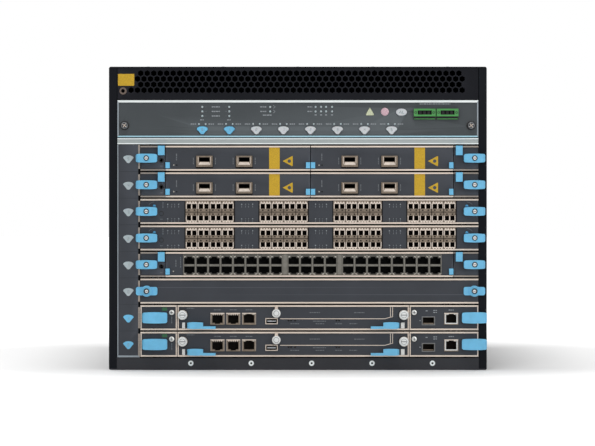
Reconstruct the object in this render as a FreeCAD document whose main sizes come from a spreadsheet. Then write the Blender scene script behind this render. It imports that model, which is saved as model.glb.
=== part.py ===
import FreeCAD, Part
import math
import os
import re

# Modular chassis switch: a rack chassis with eight horizontal slots, a status panel and
# an intake grille above them, and fans, filter and power supplies behind.
# Millimetres. +Z is up, the front faces -Y, the origin is the middle of the footprint.

SIZES = {
    # Chassis shell
    "chassis_depth": 622,
    "sheet_wall": 1.5,
    "post_width": 9.3,
    "post_depth": 20,
    "post_round": 2.3,
    "panel_gap": 0.6,
    "fit_gap": 0.3,
    "sill_height": 14.2,
    "sill_depth": 12,
    "sill_gap": 1.4,
    "rivet_first": 95.6,
    "rivet_pitch": 70.5,
    "rivet_radius": 3.1,
    "rivet_bore": 1.2,
    "rivet_lift": 7.9,
    "rivet_reach": 0.8,
    "vent_margin": 60,
    "vent_pitch": 17,
    "vent_radius": 8,
    "ground_bore": 3.2,
    "ground_spacing": 15.86,
    "ground_lift": 60,
    # Intake grille and its wrist-strap jack
    "grille_height": 37.1,
    "grille_setback": 0.5,
    "hex_pitch": 7.58,
    "hex_radius": 3.55,
    "hex_margin": 23.4,
    "hex_margin_right": 18.4,
    "hex_lift": 6.1,
    "jack_radius": 4.2,
    "jack_lip": 0.5,
    "jack_bore": 2.2,
    "jack_reach": 1.5,
    "jack_length": 12,
    "jack_inset": 6.6,
    "jack_lift": 10.3,
    # Status panel
    "craft_height": 43,
    "craft_rim": 1.6,
    "craft_top_rim": 2.6,
    "craft_rim_reach": 1.2,
    "craft_board_back": 13,
    "craft_screw": 3.9,
    "craft_screw_reach": 4.5,
    "craft_screw_inset": 8.4,
    "craft_screw_lift": 13.5,
    "key_width": 12.4,
    "key_height": 9.2,
    "key_foot": 5.2,
    "key_gap": 0.45,
    "key_first": 99.1,
    "key_pitch": 31.55,
    "key_lift": 3.3,
    "key_reach": 2.4,
    "key_length": 7,
    "key_flange": 1.2,
    "oval_width": 12.4,
    "oval_height": 8.3,
    "oval_inset": 89.7,
    "oval_lift": 29.1,
    "terminal_width": 25.4,
    "terminal_height": 9,
    "terminal_gap": 1.2,
    "terminal_inset": 23.5,
    "terminal_lift": 24,
    "terminal_reach": 6.5,
    "terminal_ledge": 3.5,
    "terminal_slot_width": 16.2,
    "terminal_slot_height": 4.8,
    # Slots, cards and the strip that numbers them
    "slot_pitch": 31,
    "slot_gap": 2,
    "deck_height": 7,
    "deck_rim": 1.3,
    "deck_rim_reach": 0.8,
    "label_width": 26.4,
    "label_rim": 2.2,
    "label_rim_reach": 0.6,
    "label_notch": 6.4,
    "end_width": 28.35,
    "left_module_width": 168.7,
    "right_module_width": 166.1,
    "module_gap": 0.9,
    "face_thick": 2,
    "rim_height": 1.8,
    "rim_reach": 1.5,
    "side_rim_width": 1.3,
    "side_rim_reach": 0.7,
    "card_depth": 480,
    "bay_depth": 180,
    "tray_lift": 0.6,
    "board_lift": 8,
    "board_thick": 1.6,
    "board_inset": 12,
    "standoff_radius": 3,
    "connector_margin": 34,
    "connector_width": 60,
    "connector_depth": 18,
    "connector_height": 16,
    "mate_gap": 0.4,
    "midplane_thick": 4,
    "header_depth": 8,
    "guide_reach": 4,
    "guide_thick": 1.4,
    "guide_window": 120,
    # Levers and their hinges
    "lever_length": 25,
    "lever_height": 10.4,
    "lever_radius": 4.5,
    "lever_overhang": 7.8,
    "lever_overhang_left": 5.3,
    "lever_gap": 1,
    "lever_bow": 0.6,
    "lever_round": 2.4,
    "lever_skin": 1.3,
    "lever_slot": 14,
    "tongue_length": 12,
    "tongue_thick": 2.4,
    "leaf_inset": 0.8,
    "pin_radius": 1.2,
    "pin_gap": 0.15,
    "screw_radius": 3.2,
    "screw_reach": 0.8,
    "tall_tab_width": 7.8,
    "tall_tab_gap_left": 0,
    "tall_tab_gap_right": 1.9,
    "tall_tab_height": 10.9,
    "tall_tab_reach": 7,
    "small_tab_width": 4.9,
    "small_tab_lift": 2.8,
    "small_tab_height": 7,
    "small_tab_reach": 4,
    # Modular line cards: two optical cages in each module
    "cage_first": 45.3,
    "cage_pitch": 46.4,
    "cage_width": 18.9,
    "cage_height": 12.9,
    "cage_lift": 4.5,
    "cage_reach": 2.2,
    "cage_slot_width": 12.6,
    "cage_slot_height": 4.6,
    "cage_slot_lift": 10.6,
    "socket_depth": 14,
    # Fixed-port line cards: four groups of pluggable duplex modules
    "port_margin": 52.6,
    "port_margin_right": 26.4,
    "port_pitch": 14.1,
    "port_hole_width": 4.8,
    "port_hole_height": 5.4,
    "port_hole_pitch": 6.5,
    "port_low_row": 4.0,
    "port_high_row": 17.7,
    "port_reach": 1.2,
    "port_block_margin": 2.2,
    # Copper line card: twenty columns of stacked jacks
    "copper_margin": 20.5,
    "copper_margin_right": 13.6,
    "copper_divider": 5.6,
    "copper_reach": 1.2,
    "copper_width": 12,
    "copper_height": 7,
    "copper_notch_width": 6,
    "copper_notch_height": 1.6,
    "copper_split": 2.8,
    "copper_middle": 13.6,
    # Fabric cards and their management modules
    "fabric_left": 42.4,
    "fabric_right": 80.2,
    "fabric_lever_length": 29.2,
    "fabric_lever_height": 13,
    "fabric_lever_inset": 2.2,
    "fabric_overhang": 9.8,
    "management_depth": 230,
    "thumb_radius": 5.5,
    "thumb_reach": 7,
    "thumb_lift": 17.7,
    "thumb_inset": 5.8,
    "ejector_gap": 2.2,
    "ejector_radius": 3.8,
    "ejector_length": 18.6,
    "ejector_height": 7.8,
    "ejector_lift": 5.5,
    "ejector_inset": 11.3,
    "ejector_arm": 14.6,
    "ejector_arm_height": 3,
    "socket_width": 12.2,
    "socket_height": 9.6,
    "socket_wall": 2.1,
    "socket_lift": 8.4,
    "socket_first": 46.5,
    "socket_pitch": 18.4,
    "usb_width": 12.4,
    "usb_height": 5.2,
    "usb_lift": 7.8,
    "usb_first": 109.6,
    "latch_radius": 5,
    "latch_reach": 5,
    "latch_lift": 19.6,
    "latch_first": 115.2,
    "fabric_screw_radius": 3,
    "fabric_screw_lift": 20.6,
    "pluggable_width": 13.2,
    "pluggable_height": 8,
    "pluggable_lift": 6.8,
    "pluggable_inset": 58.2,
    "pluggable_wall": 1.2,
    "console_inset": 31.6,
    # Fan tray, air filter and power supplies
    "fan_rows": 2,
    "fan_columns": 4,
    "fan_radius": 54,
    "fan_hub": 22,
    "fan_strut": 6,
    "filter_thick": 22,
    "filter_frame": 14,
    "filter_media": 6,
    "pull_width": 10,
    "pull_height": 70,
    "pull_reach": 10.8,
    "supply_depth": 330,
    "supply_gap": 0.8,
    "supply_pull_width": 50,
    "supply_pull_height": 9,
    "supply_pull_lift": 60,
    "inlet_width": 24,
    "inlet_height": 16,
    "inlet_depth": 18,
    "inlet_lift": 14,
    "dock_depth": 12,
}

# What follows from the driving sizes. Each line may use the lines above it.
PLACES = {
    "card_width": "2 * end_width + left_module_width + right_module_width + 3 * module_gap",
    "half_width": "(2 * post_width + 3 * panel_gap + label_width + card_width) / 2",
    "inner_half": "half_width - sheet_wall",
    "bay_half": "half_width - post_width",
    "label_left": "panel_gap - bay_half",
    "label_right": "label_left + label_width",
    "card_left": "label_right + panel_gap",
    "card_right": "card_left + card_width",
    "card_height": "slot_pitch - slot_gap",
    "front": "0 - chassis_depth / 2",
    "rear": "chassis_depth / 2",
    "cage_bottom": "sill_height + sill_gap",
    "deck_bottom": "cage_bottom + 8 * slot_pitch",
    "deck_top": "deck_bottom + deck_height",
    "craft_bottom": "deck_top + 2 * panel_gap",
    "craft_top": "craft_bottom + craft_height",
    "grille_bottom": "craft_top + panel_gap",
    "cover_bottom": "grille_bottom + grille_height",
    "total_height": "cover_bottom + sheet_wall",
    "fan_left": "fit_gap - inner_half",
    "fan_right": "label_right - sheet_wall - fit_gap",
    "filter_right": "inner_half - fit_gap",
    "filter_left": "filter_right - filter_thick",
    "cage_right": "filter_left - fit_gap - sheet_wall",
    "tray_left": "label_right + fit_gap",
    "tray_right": "cage_right - fit_gap",
    "tray_top": "tray_lift + sheet_wall",
    "card_rear": "front + card_depth",
    "midplane_front": "card_rear + mate_gap + header_depth",
    "connector_pitch": "(card_width - 2 * connector_margin - connector_width) / 3",
    "port_group": "4 * port_pitch",
    "port_group_pitch": "(card_width - port_margin - port_margin_right - port_group) / 3",
    "wide_module": "left_module_width + right_module_width + module_gap",
    "copper_pitch": "(wide_module - copper_margin - copper_margin_right - 2 * copper_divider) / 20",
    "supply_front": "rear - supply_depth",
    "supply_width": "(2 * inner_half - 5 * supply_gap) / 4",
}

DOC = FreeCAD.newDocument("ChassisSwitch")
NODES = []
WORD = re.compile(r"[A-Za-z_]\w*")
HEX_ROW = math.sqrt(3) / 2
HEX_ROWS = 4
TURNS = {
    "x": FreeCAD.Rotation(FreeCAD.Vector(0, 1, 0), 90),
    "y": FreeCAD.Rotation(FreeCAD.Vector(1, 0, 0), -90),
    "z": FreeCAD.Rotation(),
}


# ---------------------------------------------------------------- document helpers

def qualify(formula):
    """Name the object that owns each size in a formula."""
    def owner(match):
        word = match.group()
        if word in SIZES:
            return "Sizes." + word
        if word in PLACES:
            return "Places." + word
        return word
    return WORD.sub(owner, str(formula))


def bind(part, prop, formula):
    part.setExpression(prop, qualify(formula))


def make_sheet():
    sheet = DOC.addObject("Spreadsheet::Sheet", "Sizes")
    for row, (alias, size) in enumerate(SIZES.items(), start=1):
        sheet.set(f"A{row}", alias)
        sheet.set(f"B{row}", str(size))
        sheet.setAlias(f"B{row}", alias)
    places = DOC.addObject("App::VarSet", "Places")
    for name, formula in PLACES.items():
        places.addProperty("App::PropertyFloat", name, "Places")
        bind(places, name, formula)
    DOC.recompute()
    return places


def along(start, side, near, far):
    """The stretch from near to far, measured from start towards one side."""
    if side > 0:
        return f"{start} + ({near})", f"{start} + ({far})"
    return f"{start} - ({far})", f"{start} - ({near})"


def about(centre, width):
    """A stretch of that width about its centre."""
    return f"{centre} - ({width}) / 2", f"{centre} + ({width}) / 2"


def box(x, y, z):
    """A block that fills a stretch of each axis."""
    block = DOC.addObject("Part::Box", "Block")
    for size, axis, (low, high) in (("Length", "x", x), ("Width", "y", y), ("Height", "z", z)):
        bind(block, size, f"({high}) - ({low})")
        bind(block, f"Placement.Base.{axis}", low)
    return block


def set_along(part, axis, x, y, z):
    """Stand a cylinder or prism along one axis: that axis takes a stretch, the others a centre."""
    for name, place in (("x", x), ("y", y), ("z", z)):
        low = place
        if name == axis:
            low, high = place
            bind(part, "Height", f"({high}) - ({low})")
        bind(part, f"Placement.Base.{name}", low)
    return part


def rod(axis, radius, x, y, z):
    part = DOC.addObject("Part::Cylinder", "Rod")
    part.Placement = FreeCAD.Placement(FreeCAD.Vector(), TURNS[axis])
    bind(part, "Radius", radius)
    return set_along(part, axis, x, y, z)


def corner_wire(points):
    return Part.makePolygon([FreeCAD.Vector(*point, 0) for point in points + points[:1]])


def hexagon(centre, radius):
    """A hexagon that stands on a corner, as a wire in a flat pattern."""
    angles = [math.radians(30 + 60 * corner) for corner in range(6)]
    return corner_wire([(centre[0] + radius * math.cos(angle), centre[1] + radius * math.sin(angle))
                        for angle in angles])


def perforated_sheet(name, size, holes, upright):
    """A flat sheet, punched with wires in its own plane and stood up by a turn."""
    width, height = size
    outline = corner_wire([(0, 0), (width, 0), (width, height), (0, height)])
    sheet = DOC.addObject("Part::Feature", name)
    face_shape = Part.makeFace([outline] + holes, "Part::FaceMakerBullseye")
    sheet.Shape = face_shape.extrude(FreeCAD.Vector(0, 0, SIZES["sheet_wall"]))
    sheet.Placement = FreeCAD.Placement(FreeCAD.Vector(), upright)
    return sheet


def honeycomb(rows, columns, pitch, radius, start):
    """Wires for a field of hexagons, every other row one shorter and shifted by half a pitch."""
    return [
        hexagon((start[0] + pitch * (column + row % 2 / 2), start[1] + pitch * HEX_ROW * row), radius)
        for row in range(rows) for column in range(columns - row % 2)
    ]


def group(parts):
    together = DOC.addObject("Part::Compound", "Group")
    together.Links = parts
    return together


def join(parts):
    if len(parts) == 1:
        return parts[0]
    fused = DOC.addObject("Part::MultiFuse", "Joined")
    fused.Shapes = parts
    fused.Refine = True
    return fused


def carve(base, tools):
    cut = DOC.addObject("Part::Cut", "Carved")
    cut.Base = base
    cut.Tool = tools[0] if len(tools) == 1 else group(tools)
    return cut


def node(label, part, x=None, y=None, z=None):
    """Name a finished piece, and set it where it belongs."""
    part.Label = label
    for axis, place in (("x", x), ("y", y), ("z", z)):
        if place is not None:
            bind(part, f"Placement.Base.{axis}", place)
    NODES.append(part)


# ---------------------------------------------------------------- chassis shell

def base_pan():
    span = ("0 - bay_half", "bay_half")
    parts = [
        box(("0 - inner_half", "inner_half"), ("front", "rear"), (0, "sheet_wall")),
        box(span, ("front", "front + sheet_wall"), (0, "sill_height")),
        box(span, ("front", "front + sill_depth"), ("sill_height - sheet_wall", "sill_height")),
    ]
    bores = []
    for index in range(5):
        x = f"rivet_first + {index} * rivet_pitch - half_width"
        head = ("front - rivet_reach", "front + sheet_wall")
        parts.append(rod("y", "rivet_radius", x, head, "rivet_lift"))
        bore = ("front - 2 * rivet_reach", "front + rivet_reach")
        bores.append(rod("y", "rivet_bore", x, bore, "rivet_lift"))
    node("base_pan", carve(join(parts), bores))


def corner_waste(x, side, z, up, y, radius):
    """What rounding a front corner takes away: a square less its quarter circle."""
    square = box(along(x, side, f"0 - {radius}", 1), y, along(z, up, f"0 - {radius}", 1))
    quarter = rod("y", radius, f"{x} - {side} * {radius}", y, f"{z} - {up} * {radius}")
    return carve(square, [quarter])


def side_panel(label, side):
    """A perforated side sheet, and the folded post that is riveted to its front edge."""
    upright = ("sheet_wall", "cover_bottom")
    post_end = "front + post_depth"
    post = [
        box(along(0, side, "inner_half", "half_width"), ("front", post_end), (0, "total_height")),
        box(along(0, side, "bay_half", "half_width"), ("front", "front + sheet_wall"), upright),
        box(along(0, side, "bay_half", "bay_half + sheet_wall"), ("front", post_end), upright),
    ]
    size = (SIZES["chassis_depth"] - SIZES["post_depth"], PLACE.total_height)
    margin, pitch = SIZES["vent_margin"], SIZES["vent_pitch"]
    columns = int((SIZES["card_depth"] - 2 * margin) / pitch)
    rows = int((PLACE.deck_bottom - margin) / (pitch * HEX_ROW))
    start = (margin, (margin + PLACE.cage_bottom) / 2)
    vents = honeycomb(rows, columns, pitch, SIZES["vent_radius"], start)
    turn = FreeCAD.Rotation(FreeCAD.Vector(1, 1, 1), 120)
    sheet = perforated_sheet("PunchedSide", size, vents, turn)
    for axis, place in (("x", along(0, side, "inner_half", "half_width")[0]), ("y", post_end), ("z", 0)):
        bind(sheet, f"Placement.Base.{axis}", place)
    waste_y = ("front - 1", f"{post_end} + 1")
    waste = [corner_waste(f"{side} * half_width", side, z, up, waste_y, "post_round")
             for z, up in (("total_height", 1), (0, -1))]
    node(label, group([sheet, carve(join(post), waste)]))


def top_cover():
    width = ("0 - inner_half", "inner_half")
    node("top_cover", box(width, ("front", "rear"), ("cover_bottom", "total_height")))


def rear_bulkhead():
    """The fixed rear wall behind the midplane, with two tapped holes for a ground lug."""
    wall = box(("label_right - sheet_wall", "cage_right + sheet_wall"), ("rear - sheet_wall", "rear"),
               ("sheet_wall", "deck_top - sheet_wall"))
    centre = "(label_right + cage_right) / 2"
    holes = []
    pads = []
    for half in (-0.5, 0.5):
        x = f"{centre} + {half} * ground_spacing"
        pads.append(rod("y", "2 * ground_bore", x, ("rear - 4 * sheet_wall", "rear"), "ground_lift"))
        holes.append(rod("y", "ground_bore", x, ("rear - 5 * sheet_wall", "rear + sheet_wall"), "ground_lift"))
    node("rear_bulkhead", carve(join([wall] + pads), holes))


def power_deck():
    """The deck between the card cage and the supply bay, with the wall that the supplies dock into."""
    strip = ("label_left", "card_right")
    inside = ("0 - inner_half", "inner_half")
    post_end = "front + post_depth + fit_gap"
    parts = [
        box(strip, ("front", "front + sheet_wall"), ("deck_bottom", "deck_top")),
        box(strip, ("front - deck_rim_reach", "front"), ("deck_bottom", "deck_bottom + deck_rim")),
        box(strip, ("front - deck_rim_reach", "front"), ("deck_top - deck_rim", "deck_top")),
        box(strip, ("front", post_end), ("deck_top - sheet_wall", "deck_top")),
        box(inside, (post_end, "rear"), ("deck_top - sheet_wall", "deck_top")),
        box(inside, ("supply_front - dock_depth - sheet_wall", "supply_front - dock_depth"),
            ("deck_top - sheet_wall", "cover_bottom")),
    ]
    for index in range(4):
        x = supply_left(index)
        parts.append(box((f"{x} + supply_width / 4", f"{x} + supply_width * 3 / 4"),
                         ("supply_front - dock_depth", "supply_front - mate_gap"),
                         ("deck_top + inlet_lift", "deck_top + inlet_lift + connector_height")))
    node("power_deck", join(parts))


def header_stretch(index):
    left = f"card_left + connector_margin + {index} * connector_pitch"
    return left, f"{left} + connector_width"


def midplane():
    """The board that every card plugs into, with four headers for each slot."""
    parts = [box(("label_right", "cage_right"), ("midplane_front", "midplane_front + midplane_thick"),
                 ("sheet_wall", "deck_top - sheet_wall"))]
    for slot in range(8):
        if slot == 2:
            continue
        z = f"cage_bottom + {slot} * slot_pitch + board_lift - 2"
        for index in range(4):
            parts.append(box(header_stretch(index), ("card_rear + mate_gap", "midplane_front"),
                             (z, f"{z} + connector_height")))
    node("midplane", join(parts))


def cage_wall(side, inner_face, start):
    """One wall of the card cage: a windowed sheet with a grooved rail at each slot."""
    depth = (start, "midplane_front")
    sheet = box(along(inner_face, side, 0, "sheet_wall"), depth, ("sheet_wall", "deck_top - sheet_wall"))
    rails = []
    windows = [box(along(inner_face, side, -1, "sheet_wall + 1"), (f"{start} - 1", "front + sill_depth"),
                   (0, "sill_height"))]
    for slot in range(8):
        z = f"cage_bottom + {slot} * slot_pitch"
        rail_x = along(inner_face, -side, 0, "guide_reach")
        rail_y = ("front + sill_depth", "midplane_front - 2 * header_depth")
        for low in (f"{z} + tray_lift - fit_gap - guide_thick", f"{z} + tray_top + fit_gap"):
            rails.append(box(rail_x, rail_y, (low, f"{low} + guide_thick")))
        for index in range(3):
            y = f"front + sill_depth * 3 + {index} * (guide_window + sill_depth * 2)"
            windows.append(box(along(inner_face, side, -1, "sheet_wall + 1"), (y, f"{y} + guide_window"),
                               (f"{z} + board_lift", f"{z} + card_height - 3")))
    return carve(join([sheet] + rails), windows)


def card_guides():
    left = cage_wall(-1, "label_right", "front + sheet_wall")
    right = cage_wall(1, "cage_right", "front + face_thick + sheet_wall")
    node("card_guides", group([left, right]))


def intake_grille():
    """The hexagonal intake grille, with the wrist-strap jack that stands in it."""
    back = "front + grille_setback"
    margin, pitch, radius = SIZES["hex_margin"], SIZES["hex_pitch"], SIZES["hex_radius"]
    width, height = PLACE.card_right - PLACE.label_left, SIZES["grille_height"]
    columns = int((width - margin - SIZES["hex_margin_right"]) / pitch) + 1
    lowest = height - SIZES["hex_lift"] - (HEX_ROWS - 1) * pitch * HEX_ROW
    holes = honeycomb(HEX_ROWS, columns, pitch, radius, (margin, lowest))
    holes.append(hexagon((margin - pitch, lowest), radius))
    neck = SIZES["jack_radius"] - SIZES["fit_gap"] - SIZES["jack_lip"]
    seat = Part.makeCircle(neck + SIZES["fit_gap"], FreeCAD.Vector(SIZES["jack_inset"], SIZES["jack_lift"], 0))
    holes.append(Part.Wire(seat))
    upright = FreeCAD.Rotation(FreeCAD.Vector(1, 0, 0), 90)
    sheet = perforated_sheet("PunchedFront", (width, height), holes, upright)
    for axis, place in (("x", "label_left"), ("y", f"{back} + sheet_wall"), ("z", "grille_bottom")):
        bind(sheet, f"Placement.Base.{axis}", place)
    x = "label_left + jack_inset"
    z = "grille_bottom + jack_lift"
    flange = rod("y", "jack_radius", x, ("front - jack_reach", back), z)
    barrel = rod("y", "jack_radius - fit_gap - jack_lip", x, (back, f"{back} + jack_length"), z)
    bore = rod("y", "jack_bore", x, ("front - jack_reach - 1", f"{back} + jack_length - 2"), z)
    node("intake_grille", group([sheet, carve(join([flange, barrel]), [bore])]))


# ---------------------------------------------------------------- status panel

def key_centre(index):
    return f"label_left + key_first + {index} * key_pitch"


def oval(x, z, width, height, y):
    """An ellipse, drawn back along Y."""
    outline = DOC.addObject("Part::Ellipse", "Ellipse")
    outline.Placement = FreeCAD.Placement(FreeCAD.Vector(), TURNS["y"])
    bind(outline, "MajorRadius", f"({width}) / 2")
    bind(outline, "MinorRadius", f"({height}) / 2")
    for axis, place in (("x", x), ("y", y[0]), ("z", z)):
        bind(outline, f"Placement.Base.{axis}", place)
    solid = DOC.addObject("Part::Extrusion", "Oval")
    solid.Base = outline
    solid.DirMode = "Custom"
    solid.Dir = FreeCAD.Vector(0, 1, 0)
    solid.Solid = True
    bind(solid, "LengthFwd", f"({y[1]}) - ({y[0]})")
    return solid


def taper(x, y, z, foot, head):
    """A block whose width grows from its foot to its head."""
    wedge = DOC.addObject("Part::Wedge", "Taper")
    wedge.Placement = FreeCAD.Placement(FreeCAD.Vector(), TURNS["y"])
    sizes = {
        "Xmin": 0, "Xmax": head, "X2min": f"(({head}) - ({foot})) / 2", "X2max": f"(({head}) + ({foot})) / 2",
        "Ymin": 0, "Ymax": f"({z[1]}) - ({z[0]})",
        "Zmin": 0, "Zmax": f"({y[1]}) - ({y[0]})", "Z2min": 0, "Z2max": f"({y[1]}) - ({y[0]})",
    }
    for size, formula in sizes.items():
        bind(wedge, size, formula)
    for axis, place in (("x", f"{x} - ({head}) / 2"), ("y", y[0]), ("z", z[1])):
        bind(wedge, f"Placement.Base.{axis}", place)
    return wedge


def shield(x, z, grow, y):
    """A shield outline: a low arch over full shoulders, drawn in to a round foot."""
    shoulder = f"{z} + key_height * 2 / 3"
    arch = oval(x, shoulder, f"key_width + 2 * {grow}", f"key_height * 2 / 3 + 2 * {grow}", y)
    foot = rod("y", f"key_foot / 2 + {grow}", x, y, f"{z} + key_foot / 2")
    sides = taper(x, y, (f"{z} + key_foot / 4 - {grow} / 2", shoulder),
                  f"(key_foot + 2 * {grow}) * sqrt(3) / 2", f"key_width + 2 * {grow}")
    return join([arch, sides, foot])


OVAL_AT = ("card_right - oval_inset", "oval_lift")


def craft_panel():
    """The status panel: a sheet with a raised edge, its key openings, board and captive screws."""
    left, right = "label_left", "card_right"
    rim = ("front - craft_rim_reach", "front")
    parts = [
        box((left, right), ("front", "front + sheet_wall"), (0, "craft_height")),
        box((left, right), rim, ("craft_height - craft_top_rim", "craft_height")),
        box((left, right), rim, (0, "craft_rim")),
        box((left, f"{left} + craft_rim"), rim, (0, "craft_height")),
        box((f"{right} - craft_rim", right), rim, (0, "craft_height")),
    ]
    board_front = "front + craft_board_back"
    parts.append(box((f"{left} + 20", f"{right} - 20"), (board_front, f"{board_front} + board_thick"),
                     (3, "craft_height - 3")))
    for x in (f"{left} + 28", f"{right} - 28"):
        parts.append(rod("y", "standoff_radius", x, ("front", board_front), "craft_height / 2"))
    for x in (f"{left} + craft_screw_inset", f"{right} - craft_screw_inset"):
        parts.append(rod("y", "craft_screw", x, ("front - craft_screw_reach", "front"), "craft_screw_lift"))
    through = ("front - 1", "front + sheet_wall + 1")
    holes = [shield(key_centre(index), "key_lift", "key_gap", through) for index in range(8)]
    holes.append(oval(*OVAL_AT, "oval_width + 2 * fit_gap", "oval_height + 2 * fit_gap", through))
    node("craft_panel", carve(join(parts), holes), z="craft_bottom")


def keys():
    """Eight shield-shaped keys and an oval one, each with a flange behind the panel."""
    length = ("front - key_reach", "front - key_reach + key_length")
    flange = ("front + sheet_wall", "front + sheet_wall + 1.5")
    for index in range(8):
        x = key_centre(index)
        stop = box(about(x, "key_width + 2 * key_flange"), flange, ("key_lift", "key_lift + key_height"))
        key = shield(x, "key_lift", 0, length)
        node(f"slot_button_{index + 1}", join([key, stop]), z="craft_bottom")
    x, z = OVAL_AT
    stop = box(about(x, "oval_width + 2 * key_flange"), flange, about(z, "oval_height"))
    button = oval(x, z, "oval_width", "oval_height", length)
    node("alarm_cutoff_button", join([button, stop]), z="craft_bottom")


def alarm_terminals():
    """Two plug-in terminal blocks on one header."""
    right = "card_right - terminal_inset"
    height = ("terminal_lift", "terminal_lift + terminal_height")
    blocks = []
    slots = []
    for index in range(2):
        outer = f"{right} - {index} * (terminal_width + terminal_gap)"
        x = (f"{outer} - terminal_width", outer)
        blocks.append(box(x, ("front - terminal_reach", "front"), height))
        slots.append(box(about(f"{outer} - terminal_width / 2", "terminal_slot_width"),
                         ("front - terminal_reach - 1", "front - 1"),
                         about("terminal_lift + terminal_height / 2", "terminal_slot_height")))
    header = box((f"{right} - 2 * terminal_width - terminal_gap", right), ("front - terminal_reach / 2", "front"),
                 ("terminal_lift - terminal_ledge", "terminal_lift + 1"))
    node("alarm_terminals", carve(join(blocks + [header]), slots), z="craft_bottom")


def slot_label_strip():
    """The strip left of the slots, with a raised edge that is notched between slots."""
    depth = ("front", "front + sheet_wall")
    raised = ("front - label_rim_reach", "front")
    height = ("sill_height + panel_gap", "deck_bottom - panel_gap")
    x = ("label_left", "label_right")
    parts = [
        box(x, depth, height),
        box(("label_right - label_rim", "label_right"), raised, height),
        box(("label_left", "label_left + label_rim / 2"), raised, height),
        box(x, raised, (height[0], f"{height[0]} + label_rim")),
    ]
    notches = []
    for slot in range(1, 8):
        middle = f"cage_bottom + {slot} * slot_pitch - slot_gap / 2"
        notches.append(box(("label_right - label_rim", "label_right + 1"),
                           ("front - 1", "front + 2 * sheet_wall"), about(middle, "label_notch")))
    node("slot_label_strip", carve(join(parts), notches))


# ---------------------------------------------------------------- levers

def bowed(solid, middle, length, height, y):
    """Keep what lies between two long arcs, so that a lever is highest at its middle."""
    radius = f"({length} * {length} / (8 * lever_bow) + lever_bow / 2)"
    arcs = [rod("y", radius, middle, y, f"{height} / 2 - {radius}"),
            rod("y", radius, middle, y, f"{radius} - {height} / 2")]
    kept = DOC.addObject("Part::MultiCommon", "Bowed")
    kept.Shapes = [solid] + arcs
    return kept


def end_wastes(outer, inner, side, z, half, y):
    """The waste at the four front corners of a bar between two x places, `half` high about z."""
    return [corner_waste(x, out, f"{z} + {up} * ({half})", up, y, "lever_round")
            for x, out in ((outer, side), (inner, -side)) for up in (1, -1)]


def lever_solid(side, radius, length, height, rounded=True):
    """A lever about its pin: a bowed bar with round ends, slotted from behind for the hinge leaf."""
    z = (f"0 - {height} / 2", f"{height} / 2")
    bar = box(along(0, -side, 0, f"{length} - {radius}"), (f"0 - {radius}", radius), z)
    end = rod("z", radius, 0, 0, z)
    body = bowed(join([bar, end]), f"{-side} * ({length} / 2 - {radius})", length, height,
                 (f"0 - 2 * {radius}", f"2 * {radius}"))
    thick = about(0, "tongue_thick + 2 * fit_gap")
    slots = [
        box(along(0, -side, 0, "lever_slot"), (f"lever_skin - {radius}", f"{radius} + 1"), thick),
        box(along(0, side, 0, f"{radius} + 1"), (0, f"{radius} + 1"), thick),
        rod("z", f"{radius} - lever_skin", 0, 0, thick),
    ]
    if rounded:
        slots += end_wastes(f"{side} * {radius}", f"{side} * ({radius} - {length})", side, 0,
                            f"{height} / 2 - lever_bow / 2", (f"0 - 2 * {radius}", f"2 * {radius}"))
    pin = rod("z", "pin_radius", 0, 0, (f"lever_bow - {height} / 2", f"{height} / 2 - lever_bow"))
    return [carve(body, slots), pin]


def card_lever(label, side, x, z, length="lever_length", height="lever_height", screw=True):
    parts = lever_solid(side, "lever_radius", length, height)
    if screw:
        centre = f"{-side} * ({length} / 2 - lever_radius)"
        reach = ("0 - lever_radius - screw_reach", "1 - lever_radius")
        parts.append(rod("y", "screw_radius", centre, reach, 0))
    node(label, join(parts), x=x, y="front - lever_gap - lever_radius", z=z)


def ejector(label, side, x, z):
    """A small module ejector: a block on its pin with a thin finger arm."""
    parts = lever_solid(side, "ejector_radius", "ejector_length", "ejector_height", False)
    arm_x = along(0, -side, "ejector_length - ejector_radius - 1", "ejector_length - ejector_radius + ejector_arm")
    parts.append(box(arm_x, ("0 - ejector_radius", 0),
                     ("0 - ejector_height / 2", "ejector_arm_height - ejector_height / 2")))
    node(label, join(parts), x=x, y="front - ejector_gap - ejector_radius", z=z)


def tongue(side, x, z, radius, root, gap="lever_gap"):
    """The hinge leaf that a face carries into a lever's slot, and the bore for its pin."""
    y = f"(front - {gap} - {radius})"
    reach = f"({radius} - lever_skin - fit_gap)"
    thick = about(z, "tongue_thick")
    leaf = [
        box(along(x, -side, 0, "tongue_length"), (f"{y} - {reach}", f"{y} + {reach}"), thick),
        box(along(x, -side, root, "tongue_length"), (y, "front"), thick),
        rod("z", reach, x, y, thick),
    ]
    bore = rod("z", "pin_radius + pin_gap", x, y, about(z, "2 * tongue_thick"))
    return leaf, bore


def hinge(side):
    """Where a line card's lever turns, and how far in its leaf meets the face."""
    if side > 0:
        return ("(card_right + lever_overhang - lever_radius)",
                "(lever_overhang - lever_radius + leaf_inset)")
    return ("(card_left - lever_overhang_left + lever_radius)",
            "(lever_overhang_left - lever_radius + leaf_inset)")


def fabric_hinge(side):
    """The same for a fabric card, whose left lever stands inside the face."""
    if side > 0:
        return ("(card_right + fabric_overhang - lever_radius)",
                "(fabric_overhang - lever_radius + leaf_inset)")
    return "(card_left + fabric_lever_inset + lever_radius)", "pin_radius"


# ---------------------------------------------------------------- cards

def face(x, sides=False):
    """A front plate one card high, with a lip along its top and bottom, and low ones at its sides."""
    lip = ("front - rim_reach", "front")
    parts = [
        box(x, ("front", "front + face_thick"), (0, "card_height")),
        box(x, lip, (0, "rim_height")),
        box(x, lip, ("card_height - rim_height", "card_height")),
    ]
    if sides:
        low_lip = ("front - side_rim_reach", "front")
        parts.append(box((x[0], f"{x[0]} + side_rim_width"), low_lip, (0, "card_height")))
        parts.append(box((f"{x[1]} - side_rim_width", x[1]), low_lip, (0, "card_height")))
    return parts


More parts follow.
